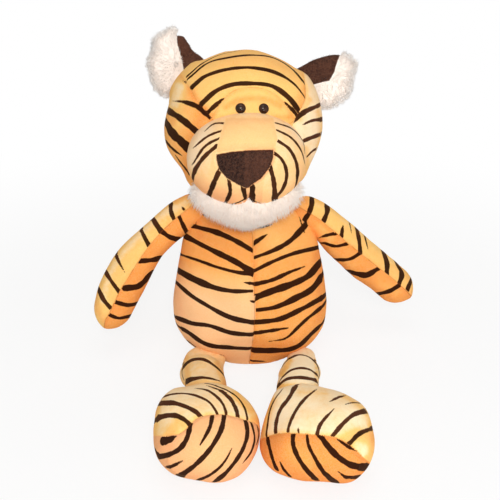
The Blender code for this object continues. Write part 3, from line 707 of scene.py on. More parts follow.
def tube_skin(name, path, radii, rows, sides):
    """A round-ended tube along a smooth path, with rows that crowd near both poles."""
    path = [np.array(p, float) for p in path]
    path = [path[0] - unit(path[1] - path[0]) * radii[0]] + path
    table = [(i / (len(path) - 1), *p, r) for i, (p, r) in enumerate(zip(path, (radii[0], *radii)))]
    fine = curve(table, np.linspace(0, 1, 400))
    spine, thick = fine[:, 1:4], fine[:, 4]
    reach = np.concatenate([[0], np.cumsum(np.linalg.norm(np.diff(spine, axis=0), axis=1))])
    total = reach[-1]
    rings = []
    for k in range(rows):
        at = (1 - np.cos(math.pi * ((k + 1) / (rows + 1)))) / 2 * total
        centre = np.array([np.interp(at, reach, spine[:, c]) for c in range(3)])
        index = min(np.searchsorted(reach, at), 399)
        ahead = unit(spine[index] - spine[index - 1])
        radius = np.interp(at, reach, thick)
        for gap, end in ((at, radii[0]), (total - at, radii[-1])):
            if gap < end:
                radius *= math.sqrt(max(1 - (1 - gap / end) ** 2, 0))
        side = unit(np.cross(ahead, Z))
        rings.append(hoop(centre, side, np.cross(side, ahead), radius, radius, sides))
    return Skin(name, rings, spine[0], spine[-1], tube=True)


# Torso: plain seams down the middle and sides, and stripes on each of its four panels.
TORSO_LEFT = (
    ("bt", (2.4, 1.6), (198, 212, 204, 215, 209, 217), (14, 0)),
    ("bb", (2.8, 4.8, 3.6), (197, 227, 216, 232, 234, 240, 252.5, 250.6), (16, 0)),
    ("bb", (5.2, 4.6, 4, 5, 7), (185, 236, 200, 244, 220, 254, 236, 262, 254, 273.5), (35, 0)),
    ("bb", (2, 2, 2.4, 3.4), (182, 255, 200, 261, 220, 268, 236, 272, 254, 274.5), (35, 0)),
    ("bb", (3.4, 5, 5.8, 4, 2), (179, 271, 196, 280, 216, 288, 232, 291, 254, 291), (35, 0)),
    ("bb", (2.2, 2.6, 3.2, 4, 5), (176, 282, 192, 296, 208, 306, 232, 318, 255, 323), (35, 0)),
    ("bb", (3.6, 3.2, 3.8), (177, 318, 192, 323, 208, 325, 232, 333, 255, 335), (35, 0)),
    ("bb", (3, 3.4, 3), (182, 329, 200, 337, 220, 345, 236, 348, 253, 349), (30, 0)),
    ("bt", (2.2, 2), (184, 339, 200, 348, 224, 354.5), (24, 0)),
    ("tb", (2.2, 2.6), (244, 282.5, 255, 284), (0, 0)),
    ("tb", (2, 2.2), (250, 301, 255, 302), (0, 0)),
)
TORSO_RIGHT = (
    ("bt", (4.3, 2.7), (252, 244.5, 260, 239, 267, 234.4), (0, 0)),
    ("tt", (1.6, 1.6), (257, 228.4, 272, 224.4), (0, 0)),
    ("bb", (2.3, 4.3, 5.7), (253, 258, 272, 251, 290, 241, 303, 228), (0, 18)),
    ("bb", (2.7, 3.2, 5.5), (253, 271.5, 272, 262, 292, 254, 316, 248), (0, 35)),
    ("bt", (3.4, 3.4, 2.7), (253.5, 284.5, 272, 280, 290, 272, 305, 266.4), (0, 0)),
    ("bb", (6.6, 5.7, 3.9), (254, 298, 272, 291, 292, 284, 308, 276, 320, 263), (0, 30)),
    ("bb", (2.2, 5.2, 5.6, 3), (254, 310.6, 276, 307, 296, 298, 312, 289, 321, 278), (0, 35)),
    ("bb", (4.4, 4.2, 4), (254, 322.6, 280, 319, 300, 310, 322, 298), (0, 35)),
    ("bt", (3.2, 2.4), (254, 333.4, 272, 330.4, 288, 327.6), (0, 0)),
    ("tb", (1.6, 2.6, 3.8), (269, 341, 284, 337, 296, 328, 308, 318, 321, 308), (0, 30)),
    ("bb", (4.8, 4.8, 4), (252, 350.4, 270, 350, 288, 346, 304, 338, 319, 327), (0, 30)),
    ("bt", (2.2, 2), (250, 361, 266, 361.6), (0, 0)),
)
# Painted light and tone on the torso: painted shade along its edges, under the arms and at its lower rim,
# painted highlights on its rounded front, and patches of deeper or paler cloth.
TORSO_LIGHT_AND_TONE = (
    ((179, 250, 177, 275, 178, 300, 184, 325), 4, 0.3), ((184, 340, 205, 353, 245, 359), 4, 0.3),
    ((243, 276, 244, 300, 243, 332), 7, -0.15), ((262, 228, 275, 240), 12, -0.22),
    ((258, 326, 272, 336), 7, -0.2), ((262, 300, 290, 294), 6, -0.12), ((316, 255, 320, 285, 318, 320), 4, 0.2),
    ((196, 222, 200, 236), 5, 0.2), ((210, 226, 240, 231), 5, 0.25), ((255, 350, 300, 345), 6, 0.15),
    ((199, 270, 230, 280), 6, -0.12), ((200, 296, 222, 312), 8, -0.12),
)
TORSO_SEAM = (250, 205, 250.6, 218, 251.8, 230, 253.2, 255, 254, 284, 254.6, 305, 254.4, 322, 252.6, 342, 249.2,
    362)
SHOULDER_SEAMS = (
    (193.5, 204, 195.6, 211, 196.2, 218, 195.8, 226),
    (296, 205, 297.5, 211, 299.4, 217, 302.8, 227, 304.6, 232),
)


def build_torso():
    rings = [
        hoop(torso_place(row[0], 0, 0), X, DEPTH, TORSO_WIDTH * row[1], TORSO_DEPTH * row[2], 340)
        for row in curve(TORSO_SHARES, np.linspace(0.0, 1.0, 170))]
    skin = Skin("torso_skin", rings, LOW, torso_place(1, 0, 0))
    skin.flatten()
    depth = (skin.points - LOW) @ DEPTH
    hits = np.array(skin.trace(TORSO_SEAM))
    hits = hits[np.argsort(hits[:, 2])]
    middle = np.interp(skin.points[:, 2], hits[:, 2], hits[:, 0]) * portion(-depth / (20 * MM))
    across = skin.points[:, 0] - middle
    right = across > 0
    skin.zone = np.where(right, 1, 0) + np.where(depth < 0, 0, 2)
    for zone, stripes in enumerate((TORSO_LEFT, TORSO_RIGHT)):
        joined = [
            (ends, width, row, [3 if end == "b" and reach == 0 else reach for end, reach in zip(ends, more)])
            for ends, width, row, more in stripes]
        skin.add_stripes(joined, zone)
        skin.add_stripes(joined, zone + 2, BACK)
    skin.seam = np.minimum(np.abs(across), np.abs(depth)) * 1000
    for row in SHOULDER_SEAMS:
        stitch = skin.trace(row)
        skin.print_lines(stitch, 0.15 + 0.35 * (np.arange(len(stitch)) % 3 > 0))
    pull = bell(across, 2.2 * MM) * 1.1 + bell(depth, 2.5 * MM) * 0.8
    lumps = ripples(skin.points, (60, 3, 0.9), (18, 4, 0.18))
    puckers = ripple(skin.points * np.array([0.2, 1, 1]), 7, 5) * 0.25 * bell(across, 5 * MM)
    for sign in SIGN.values():
        hip = np.array([sign * 0.049, -0.044, 0.028])
        lumps += 10 * bell(np.linalg.norm((skin.points - hip) * np.array([1, 1, 1.2]), axis=1), 19 * MM)
    skin.push((lumps + puckers - pull) * portion(skin.points[:, 2] / (8 * MM)))
    height = skin.points[:, 2]
    skin.tone = np.where(right, 0.80 - 0.2 * portion((height - 0.10) / 0.05),
                         0.56 + 0.24 * portion((height - 0.085) / 0.03))
    skin.blush = np.where(right, 0, 0.55 * portion((0.105 - height) / 0.03)) * (skin.zone < 2)
    skin.paint_light_and_tone(TORSO_LIGHT_AND_TONE)
    skin.build(VELBOA, "torso", covers("torso"))


build_torso()


# Head: crown, cheeks and back over one form, with a plain brow patch.
HEAD_OUTLINE = (
    (203.3, 59.8, 216.7, 53.8, 233.3, 51, 250, 50.2, 266.7, 53.3, 283.3, 60.7, 296.7, 69),
    (319.3, 98.3, 322.3, 115, 322.3, 128.3, 320, 140, 315, 155, 308.3, 168.3, 303.3, 181.7),
    (188.3, 186.7, 186.7, 178.3, 178.3, 165, 170, 153.3, 165.7, 140, 165, 125, 167.3, 111.7, 170, 96.7),
)
BROW = (210.4, 119.5, 214, 113, 219, 105, 226, 96.5, 234, 90.5, 243, 88, 253, 87.4, 263, 88.6, 272, 92.4, 281,
    99, 288, 108, 294, 120.8, 290, 124, 250, 130, 214, 124)
CROWN_SEAM_LEFT = (176, 66, 184, 79, 188.4, 86.3, 198.7, 104, 212, 119, 216, 128)
CROWN_SEAM_RIGHT = (304, 72, 305.8, 86, 305.8, 98, 300, 111, 295.5, 119, 292, 127)
CROWN = (
    ("bt", (1.5, 1.3, 0.9), (187.4, 75.7, 201.6, 63.8, 218.2, 55.5, 241.8, 50.8), (2, 0)),
    ("bb", (1.5, 2.3, 2.1), (189, 77.5, 208.7, 62.6, 227.6, 57.9, 253.7, 55.5, 272.6, 57.9, 291.6, 68.6, 304,
     82.5), (3, 2)),
    ("bt", (4.5, 2.6, 2.6, 3.4, 2.8), (190, 88.5, 204, 76.8, 220.5, 70.9, 253.7, 68.1, 279.7, 74.5, 294, 84,
     305.3, 98), (3, 0)),
    ("bb", (4.3, 4.1, 3.4, 3.4, 4.3, 4.7), (201.5, 103.5, 215.8, 91, 230, 85.1, 251.3, 83.5, 272.6, 86.3, 286.9,
     95.8, 300.4, 112), (3, 3)),
    ("bt", (3, 3.8, 2.8), (207, 113, 218.2, 102.9, 234.5, 95), (3, 0)),
    ("bb", (2.1, 3), (285, 102.9, 291.6, 108.8, 299.2, 118), (0, 3)),
)
CHEEK_LEFT = (
    ("tb", (3, 4.4, 6), (172.5, 101, 182.6, 101.7, 194.5, 105.3, 212.5, 118), (0, 3)),
    ("bb", (4, 5.2, 6), (166.5, 109.5, 173.2, 113.6, 185, 121.8, 201, 135.5), (14, 4)),
    ("bb", (5, 7, 8), (165.6, 121.8, 170.8, 131.3, 177.9, 138.4, 191, 150.5), (12, 6)),
    ("bt", (3, 2.4), (166, 141.3, 173.2, 149, 182, 155.4), (6, 0)),
    ("tb", (2.2, 2.8), (175.5, 155, 180.3, 162, 186.2, 169.7), (0, 5)),
    ("bt", 2.4, (189, 83, 182.6, 80.4), (2, 0)),
)
CHEEK_RIGHT = (
    ("bb", (4.5, 3.6, 2.7), (295, 119.5, 305.8, 111.2, 316.4, 106.5), (3, 25)),
    ("tb", (3.6, 4.2), (303, 124.6, 311.7, 120.7, 320.5, 119.5), (0, 30)),
    ("bb", (2.7, 3.6), (302, 141.4, 312.9, 137.2, 321.2, 134.2), (4, 30)),
    ("tb", (2.7, 2.7), (307, 157, 314, 150.3, 318.8, 147.9), (4, 30)),
    ("tb", 2.7, (306.5, 168.4, 312.9, 163.3), (4, 30)),
)
# Painted light and tone on the head: painted shade in the fold over the eyes, under the eyes and along the
# seams and edges, and patches of deeper or paler cloth.
HEAD_LIGHT_AND_TONE = (
    ((226, 107, 236, 101, 253, 98.5, 270, 100.5, 280, 106), 3.2, 0.4), ((268, 117, 288, 117.5), 2.5, 0.35),
    ((222, 118, 232, 116), 3, 0.2), ((190, 90, 200, 106, 211, 117), 5, 0.3),
    ((304, 90, 299, 105, 292, 116), 5, 0.3), ((225, 63, 280, 64), 9, 0.06),
    ((204, 112, 196, 130, 190, 150, 187, 172), 7, 0.3), ((180, 88, 174, 104), 9, -0.5),
    ((184, 118, 176, 128), 5, -0.28), ((304, 150, 306, 165, 303, 182), 4, 0.3),
    ((318, 112, 321, 128, 318, 145), 3, 0.2), ((309, 100, 300, 118), 3, 0.25),
)
HEAD_BACK = (
    ("bt", (4, 3.4), (250, 78, 270, 76, 290, 84), (2, 0)),
    ("bb", (3, 4.4, 3), (250, 94, 275, 92, 303, 100), (2, 24)),
    ("bb", (4.6, 4, 3), (250, 112, 278, 108, 314, 112), (2, 24)),
    ("bt", (2.6, 3), (250, 128, 274, 125, 300, 126), (2, 0)),
    ("bb", (3.4, 4.6, 3), (250, 142, 280, 139, 316, 138), (2, 20)),
    ("bb", (4, 3), (250, 158, 276, 156, 306, 156), (2, 20)),
    ("tb", 3.2, (278, 168, 298, 168), (0, 16)),
    ("bt", (3, 3.6), (250, 86, 232, 84, 212, 92), (2, 0)),
    ("bb", (4.4, 3.6, 3), (250, 103, 222, 99, 186, 104), (2, 24)),
    ("bb", (3, 4.4, 3.4), (250, 120, 220, 117, 178, 120), (2, 24)),
    ("bb", (4.8, 4, 3), (250, 136, 218, 132, 176, 134), (2, 20)),
    ("bt", (3, 2.6), (250, 150, 226, 148, 204, 150), (2, 0)),
    ("bb", (3.6, 3), (250, 166, 222, 164, 192, 162), (2, 16)),
)
PLAIN = 9  # a zone without stripes


def build_head():
    rings = [
        hoop(Z * HEAD_HEIGHT * row[3], X, Y, HEAD_WIDTH * row[1], HEAD_DEPTH * row[2], 380)
        for row in curve(HEAD_SHARES, np.linspace(0, 1, 180))]
    skin = Skin("head_skin", rings, -Z * HEAD_HEIGHT * 1.02, Z * HEAD_HEIGHT, HEAD)
    skin.fit(HEAD_OUTLINE)
    spot, seen, local = skin.pixels(), skin.seen(), in_head(skin.points)
    brow = np.where(seen, inside(spot, BROW), 9)
    tilt = math.radians(29)
    across = np.abs(local[:, 0]) * math.cos(tilt) - local[:, 2] * math.sin(tilt) - 33.7 * MM
    back = local[:, 1] > 14 * MM
    cheeks = np.zeros(len(spot), bool)
    for seam, edge, low in ((CROWN_SEAM_LEFT, 100, 216), (CROWN_SEAM_RIGHT, 400, 292)):
        cheeks |= inside(spot, [edge, 60, *line(seam).ravel(), low, 240, edge, 240]) < 0
    side = np.where(seen, cheeks, across > 0)
    skin.zone = np.where(side, np.where(local[:, 0] > 0, 2, 1), 0)
    skin.zone[back] += 3
    skin.zone[(brow < 0) & seen] = PLAIN
    for zone, stripes in enumerate((CROWN, CHEEK_LEFT, CHEEK_RIGHT)):
        skin.add_stripes(stripes, zone)
    skin.add_stripes(HEAD_BACK, None, BACK)
    for row in (CROWN_SEAM_LEFT, CROWN_SEAM_RIGHT, closed(BROW)):
        skin.add_seam(row)
    skin.seam = np.minimum(skin.seam, np.abs(local[:, 1] - 14 * MM) * 1000)
    skin.seam = np.where(back, np.minimum(skin.seam, np.abs(local[:, 0]) * 1000), skin.seam)
    dip = np.where(seen, portion(-brow / 14), 0) * 1.5
    skin.push(ripples(skin.points, (70, 8, 0.8), (16, 9, 0.15)) - bell(skin.seam, 2.0) * 0.9 - dip)
    skin.tone = np.select([skin.zone == PLAIN, skin.zone == 0, skin.zone == 1, skin.zone == 2],
                          [0.34, 0.32, 0.56, 0.04], 0.45)
    skin.blush = np.where(skin.zone == 2, 0.25, 0.0)
    skin.paint_light_and_tone(HEAD_LIGHT_AND_TONE)
    skin.build(VELBOA, "head", covers("head") + ["cheek_left", "cheek_right", "brow_patch"])
    return skin


head = build_head()


# Muzzle.
NOSE_LINE = (216, 154.5, 232, 151.6, 250, 150, 273.8, 149.6, 273.4, 158, 270, 168, 261, 179, 252, 185, 249, 188,
    245.5, 188.5, 238, 185, 226, 178, 219, 170, 216.6, 162)
BRIDGE = (226, 118, 222, 130, 218, 143, 216, 154.5, 250, 150, 273.8, 149.4, 277.5, 140, 276, 130, 273, 118)
MUZZLE_LEFT = (
    ("bt", 1.3, (227, 123, 213.4, 124.2, 204.6, 131.6), (0, 0)),
    ("bt", (1.6, 1.8), (223.5, 130, 208.7, 136, 193, 148), (0, 0)),
    ("bt", (1.8, 2.2), (220, 138, 206.3, 145.5, 191.6, 165), (0, 0)),
    ("bb", (3, 3.4, 3.2, 2.6), (216.5, 146, 201.6, 159.7, 193.3, 174, 192.6, 188), (0, 3)),
    ("bb", (4, 4.4, 4), (220, 169, 214.6, 181, 207.5, 199), (0, 4)),
    ("bb", (2.6, 3.4, 3.2), (228.5, 179, 230, 192.9, 225.5, 203), (0, 6)),
    ("bb", (4.6, 3), (243, 187, 245.4, 198), (0, 3)),
)
MUZZLE_RIGHT = (
    ("bt", (1.1, 1.7, 1.3), (275.8, 123, 291.6, 129, 303.4, 143.2, 304.8, 153), (0, 0)),
    ("bt", (1.3, 1.7, 1.7), (276.8, 130, 291.6, 138.4, 302.2, 152.6, 305.3, 165), (0, 0)),
    ("bt", (2.4, 2.4, 3.1, 2.8), (278.2, 141, 289.2, 149, 296.3, 162, 297.5, 176.3, 294, 188.2, 286.5, 194.4),
     (0, 0)),
    ("bb", (2.2, 2.6, 2.9, 2.4), (272.5, 151.5, 282, 159.7, 286.9, 174, 283.3, 188.2, 275.5, 198.5), (0, 2)),
    ("bb", (3.5, 3.9, 4.4), (269.8, 165, 273.8, 181, 275, 203), (0, 3)),
    ("bb", (4.8, 4.2), (252.6, 186.5, 251.6, 200), (0, 3)),
)
# Painted light and tone on the muzzle: painted shade on its lower side, under the brow and around the nose, and
# paler patches on its upper sides.
MUZZLE_LIGHT_AND_TONE = (
    ((205, 128, 196, 145, 191, 160), 8, -0.2), ((196, 183, 208, 194, 228, 199), 8, 0.4),
    ((216, 152, 214, 170), 4, 0.15), ((300, 168, 296, 188, 285, 198), 5, 0.2), ((232, 121, 268, 121), 4, 0.12),
    ((222, 149, 246, 146, 272, 146), 3, 0.2), ((292, 124, 304, 140), 5, -0.2), ((283, 166, 281, 186), 6, 0.1),
    ((256, 190, 266, 198), 6, 0.15), ((247, 190, 247, 202), 2, 0.4),
)
MOUTH = (198, 192, 208.7, 196.6, 218, 201.6, 227.7, 204.4, 238, 202.4, 247.8, 198.6, 257, 202.2, 268, 205.2,
    278, 204.2, 286, 201)


def build_muzzle():
    skin = ball_skin("muzzle_skin", MUZZLE, (0.057, 0.047, 0.046), 150, 300, HEAD)
    local = in_head(skin.points) - MUZZLE
    # The lower edge has two round lobes with a slit between them under the nose.
    under = portion((-local[:, 2] - 0.020) / 0.026) * (local[:, 1] < 0.012)
    slit = bell(local[:, 0], 2.4 * MM) * under * 5.0
    cleft = bell(local[:, 0], 9 * MM) * portion(under - 0.3) * 5.0
    skin.push(-(slit + cleft))
    spot, seen = skin.pixels(), skin.seen()
    nose, bridge = (np.where(seen, inside(spot, row), 9) for row in (NOSE_LINE, BRIDGE))
    skin.zone = np.where(local[:, 0] > 0, 1, 0)
    skin.zone[(bridge < 0) | (nose < 0)] = PLAIN
    for zone, stripes in enumerate((MUZZLE_LEFT, MUZZLE_RIGHT)):
        skin.add_stripes(stripes, zone)
    skin.brown = nose * 0.88
    lips = skin.trace(MOUTH)
    corner = np.linspace(0.1, 0.75, 20)
    thin = np.concatenate([corner, np.full(max(len(lips) - 40, 1), 0.75), corner[::-1]])
    skin.print_lines(lips, np.interp(np.linspace(0, 1, len(lips)), np.linspace(0, 1, len(thin)), thin))
    skin.seam = np.minimum(np.abs(nose), np.where(local[:, 2] < -0.03, np.abs(local[:, 0]) * 900, 9))
    skin.seam = np.where(seen, skin.seam, 9)
    pull = bell(nose, 1.6) * 1.0 + bell(bridge, 2.0) * 0.35 * (nose > 1)
    skin.push(ripples(skin.points, (50, 12, 0.6), (14, 13, 0.15)) + portion(-nose / 5) * 1.6 - pull)
    skin.tone = 0.18 + 0.55 * portion((-local[:, 2] - 0.012) / 0.03) * (local[:, 0] < 0.012)
    skin.tone = np.where(bridge < 0, 0.28, skin.tone)
    skin.blush = np.where(bridge < 0, 0.35, 0.42)
    skin.paint_light_and_tone(MUZZLE_LIGHT_AND_TONE)
    # Painted light and shade on the nose: one side of its middle crease is painted darker and the other
    # lighter, with a painted highlight along the crease.
    painted_nose_light = 0.10 + 0.55 / (1 + np.exp(-(spot[:, 0] - 246) / 3)) + 0.25 * bell(spot[:, 0] - 246.5, 2.2)
    skin.tone = np.where(nose < 2, painted_nose_light, skin.tone)
    skin.build(VELBOA, "head", ("muzzle_bridge", "nose", "muzzle_left", "muzzle_right", "muzzle_stuffing"))
    return skin


muzzle = build_muzzle()
pile("nose_pile", muzzle, muzzle.brown < -0.4, 2600, "head")


# Eyes.
EYES = {"left": (263.8, 108.6), "right": (240.6, 108.3)}
EYE_SIZE = (4.9 * MM, 4.9 * MM, 3.4 * MM, 1)
for side, centre in EYES.items():
    hit, normal, _, _ = head.tree.ray_cast(FRONT.eye, FRONT.ray(*centre))
    turn = normal.to_track_quat("Z", "Y").to_matrix().to_4x4()
    bpy.ops.mesh.primitive_uv_sphere_add(segments=48, ring_count=32, radius=1)
    eye = bpy.context.object
    eye.name = "eye_dome_" + side
    eye.data.transform(Matrix.Translation(hit - normal * 0.1 * MM) @ turn @ Matrix.Diagonal(EYE_SIZE))
    eye.data.shade_smooth()
    eye.data.materials.append(GLOSS)
    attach(eye, "head")
    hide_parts("eye_" + side)


# Chin fur: a plump base with white strands, hanging in a bib under the muzzle.
def build_chin():
    skin = ball_skin("chin_base", CHIN, (0.0515, 0.033, 0.0275), 60, 120, HEAD)
    drop = in_head(skin.points) - CHIN
    pinch = 0.30 * portion(-drop[:, 2] / 0.0275) ** 1.5
    skin.points = skin.points - np.outer(drop[:, 0] * pinch, np.array(HEAD.to_3x3().col[0]))
    skin.refresh()
    skin.push(ripple(skin.points, 26, 21) * 0.8)
    skin.build(WHITE_FUR, "head", ("chin_fur",), "white_fur")
    count = 9000
    pick = rng.choice(len(skin.points), count)
    roots = skin.points[pick] + rng.normal(0, 0.6 * MM, (count, 3))
    lengths = rng.uniform(5, 8, count) * MM
    ways = skin.normals[pick] * 0.75
    tufts("chin_strands", roots, ways, lengths, 0.20 * MM, WHITE_FUR, "head", 0.3, 0.35)


build_chin()

# Neck: a plain ball that shows only when the head turns.
neck = ball_skin("neck_skin", torso_place(0.93, 0, 0), (0.0275, 0.0275, 0.0275), 40, 80)
neck.build(VELBOA, "neck", ("neck_stuffing",))


# Arms: two panels joined by a seam along the front, with stripes that break at it.
ARM_SEAM = {
    "right": (189, 208, 176, 218, 162, 232, 150, 246, 140, 258, 128, 274, 120, 294, 112, 308, 106, 318),
    "left": (304, 209, 308, 213, 318, 218, 330, 228, 342, 238, 356, 250, 376, 266, 392, 278, 404, 289),
}
ARM_UPPER = {
    "right": (
        ("bb", 2.2, (189, 192, 193, 198, 197, 207), (8, 0)),
        ("tt", 2.0, (182, 207, 185.5, 212), (0, 0)),
        ("bb", 3.4, (171, 202, 171, 211, 174, 219.5), (30, 3)),
        ("bb", (4, 5), (153, 219, 158, 227, 163, 234), (36, 3)),
        ("bb", (2.6, 3.8), (141, 230, 146, 240, 150.5, 248), (30, 1)),
        ("bt", (4.2, 4, 2), (115, 253, 120, 264, 125.5, 273), (30, 0)),
        ("bb", (2.6, 3.4), (105, 271, 112, 282, 122, 295), (34, 2)),
        ("bb", (3, 3.8), (99, 290, 104, 300, 112, 309), (34, 2)),
    ),
    "left": (
        ("bb", (3.7, 4.2), (312, 195, 311.5, 205, 308, 215), (22, 4)),
        ("bb", (3.7, 4.4), (327, 204, 327, 212, 323.5, 221), (30, 0)),
        ("tb", (2.4, 4), (343, 225, 340.5, 238), (0, 3)),
        ("tt", (2.4, 1.7), (349, 222, 351, 233), (26, 0)),
        ("bb", (3.1, 3.5, 4), (356, 227, 359, 240, 360, 253), (34, 3)),
        ("tt", (2.8, 2), (365, 236, 368, 249), (28, 0)),
        ("bb", (3.7, 4.6, 4.8), (383.5, 252, 387, 264, 386, 274.5), (36, 3)),
        ("tb", (3.7, 4.2, 4.4), (395.5, 261.5, 401.8, 273.4, 398, 285), (32, 3)),
        ("bb", 3.5, (411, 281, 406, 291), (20, 3)),
    ),
}
ARM_LOWER = {
    "right": (
        ("bb", (3, 4.6), (178, 214, 182, 223, 186.5, 232), (3, 22)),
        ("bt", (4.4, 3.2), (161, 231, 170, 237, 179, 239.5), (3, 22)),
        ("bb", (4.4, 4, 3), (139, 261, 152, 260, 164, 258), (2, 34)),
        ("bb", (5, 6, 4), (125, 288, 138, 286, 151, 274), (0, 34)),
        ("bb", (3.4, 2.8), (116, 302, 128, 305, 141, 302), (2, 30)),
        ("bb", (2.8, 2.2), (108, 313.5, 118, 318, 130, 316), (2, 24)),
    ),
    "left": (
        ("bb", 3.9, (309, 213, 304.5, 221, 308, 230), (2, 12)),
        ("tb", (2.4, 3.1), (318, 238.5, 328, 235, 339, 232.5), (0, 3)),
        ("tb", (2, 2.8), (324, 243.5, 336, 246, 347, 243.4), (10, 3)),
        ("tb", (2.6, 3.1), (337, 260, 350, 259, 361, 252), (30, 3)),
        ("tb", (3.7, 5.5, 4.2), (350, 272, 366, 275, 379, 267.5), (26, 3)),
        ("tb", (2.8, 3.7), (375, 294.5, 390, 291, 399, 285), (30, 3)),
    ),
}
ARM_EDGES = {
    "right": (
        (190, 190, 187, 192, 169, 204, 142, 228, 118, 251, 103, 276, 97, 293, 94, 310),
        (131, 315, 143, 291, 155, 269, 166, 252, 177, 241, 190, 232),
    ),
    "left": (
        (298, 193, 302, 194.5, 316, 198, 334, 210, 356, 228, 383, 251, 405, 272, 412, 288),
        (376, 293, 346, 270, 326, 251, 316, 239, 308, 230),
    ),
}
# Painted light and tone on the arms: painted highlights along the upper side, painted shade along the lower
# edge and near the shoulder, and patches of paler cloth.
ARM_LIGHT_AND_TONE = {
    "right": (
        ((184, 200, 160, 217, 134, 240, 112, 270, 102, 300), 4, -0.15), ((96, 292, 97, 310, 104, 320), 3, 0.2),
        ((180, 238, 165, 255, 150, 280, 138, 308), 4, 0.15), ((186, 196, 176, 200), 4, 0.3),
    ),
    "left": (
        ((316, 204, 340, 218, 365, 238, 392, 262), 4, -0.15), ((306, 200, 308, 212), 3, 0.35),
        ((332, 252, 352, 266), 4, -0.25), ((320, 228, 330, 240), 5, -0.3), ((380, 284, 396, 292), 4, -0.2),
    ),
}
ARM_SHARES = {
    "right": ((0, 0, 0), (-0.30, -0.13, -0.17), (-0.49, -0.26, -0.42), (-0.605, -0.355, -0.665)),
    "left": ((0, 0, 0), (0.24, 0, -0.14), (0.51, 0, -0.42), (0.735, 0, -0.62)),
}


def build_arm(side):
    root = torso_place(0.865, 0.72 * SIGN[side], 0.02)
    path = [root + np.array(share) * ARM_LENGTH for share in ARM_SHARES[side]]
    skin = tube_skin("arm_skin_" + side, path, (0.0155, 0.0182, 0.0225, 0.0214), 170, 130)
    skin.fit_tube(*ARM_EDGES[side])
    skin.part_by_seam(ARM_SEAM[side])
    skin.add_stripes(ARM_UPPER[side], 0)
    skin.add_stripes(ARM_LOWER[side], 1)
    seed = 51 if side == "left" else 52
    puckers = ripple(skin.points, 8, seed + 4) * 0.35 * bell(skin.seam, 4)
    ridge = np.exp(-skin.seam / 5) * 1.8 - bell(skin.seam, 1.2) * 0.5
    skin.push(ripples(skin.points, (42, seed, 0.9), (13, seed + 2, 0.2)) + puckers + ridge)
    # The lower panel is painted deeper orange: partly the cloth's own colour, partly painted shade on the side
    # that faces down.
    skin.tone = np.where(skin.zone == 1, 0.85, 0.27 if side == "right" else 0.36)
    skin.paint_light_and_tone(ARM_LIGHT_AND_TONE[side])
    skin.build(VELBOA, "arm_" + side, covers("arm", side))


for side in ("right", "left"):
    build_arm(side)


# Legs and feet. Their stripes and seams are picked on an enlarged picture of the feet.
def feet(row):
    """Pixels of the photo for pixels of the enlarged picture."""
    return tuple((spots(row) / 6 + (140, 345)).ravel())


def enlarged(table):
    return [(ends, width, feet(row), more) for ends, width, row, more in table]


LEG_STRIPES = {
    "right": (
        ("bb", 2.2, (255, 65, 300, 40, 400, 35, 440, 50), (30, 30)),
        ("bb", 3.6, (262, 130, 300, 95, 350, 85, 420, 105, 470, 140, 500, 175), (30, 26)),
        ("bt", 3.4, (275, 220, 310, 205, 370, 195, 420, 200, 480, 215), (30, 0)),
        ("bb", 2.4, (285, 262, 340, 245, 400, 240), (24, 0)),
    ),
    "left": (
        ("tt", 1.8, (930, 35, 990, 25, 1050, 40), (10, 10)),
        ("bb", 3.4, (900, 80, 950, 60, 1000, 65, 1050, 100), (30, 30)),
        ("bb", 2.2, (855, 190, 900, 155, 960, 140, 1020, 150, 1065, 180), (30, 30)),
        ("bb", 3.4, (820, 250, 870, 210, 940, 195, 1010, 200, 1060, 215), (26, 30)),
    ),
}
LEG_EDGES = {
    "right": ((183, 352, 183, 357, 184, 378, 187, 390), (213, 352, 215, 358, 223, 373, 228, 390)),
    "left": ((290, 350, 288.5, 357, 281, 374, 276, 390), (314.5, 345, 317, 357, 318.5, 370, 319, 390)),
}
# Painted shade on the legs: deeper cloth where they meet the feet and along their edges.
LEG_LIGHT_AND_TONE = {
    "right": (
        ((188, 386, 226, 386), 4, 0.4), ((186, 358, 188, 380), 2.5, 0.3), ((217, 364, 226, 384), 2.5, 0.3),
    ),
    "left": (
        ((277, 386, 318, 388), 3.5, 0.35), ((282, 374, 290, 360), 3, 0.35), ((316, 360, 317, 380), 2.5, 0.25),
    ),
}
LEG_SHARES = {
    "right": ((0, 0, 0), (-0.03, -0.24, 0.015), (0, -0.56, 0.13), (0.04, -1, 0.18)),
    "left": ((0, 0, 0), (0.02, -0.24, 0.015), (0, -0.56, 0.13), (-0.01, -1, 0.18)),
}


def leg_path(side):
    root = torso_place(0.089, 0.57 * SIGN[side], -0.692)
    return [root + np.array(share) * LEG_LENGTH for share in LEG_SHARES[side]]


def build_leg(side):
    path = leg_path(side)
    path[0] = path[0] - np.array([SIGN[side] * 0.002, -0.003, 0.005])
    path[1] = path[1] - np.array([0, 0, 0.006])
    path.append(path[-1] + unit(path[-1] - path[-2]) * 0.018)
    skin = tube_skin("leg_skin_" + side, path, (0.0140, 0.0145, 0.0178, 0.018, 0.018), 120, 110)
    skin.fit_tube(*LEG_EDGES[side])
    skin.add_stripes(enlarged(LEG_STRIPES[side]))
    skin.seam = np.abs(skin.points[:, 0] - path[0][0]) * 1000
    skin.seam[skin.points[:, 1] < path[0][1]] += 0.6
    skin.seam[skin.seen()] = 9
    seed = 61 if side == "left" else 62
    skin.push(ripples(skin.points, (34, seed, 0.8), (12, seed + 2, 0.2)))
    skin.points[:, 2] *= 1 - 0.42 * portion((skin.points[:, 1] + 0.088) / 0.045)
    skin.flatten()
    skin.blush[:], skin.tone[:] = (0.0, 0.0) if side == "left" else (0.15, 0.16)
    skin.paint_light_and_tone(LEG_LIGHT_AND_TONE[side])
    skin.build(VELBOA, "leg_" + side, covers("leg", side))


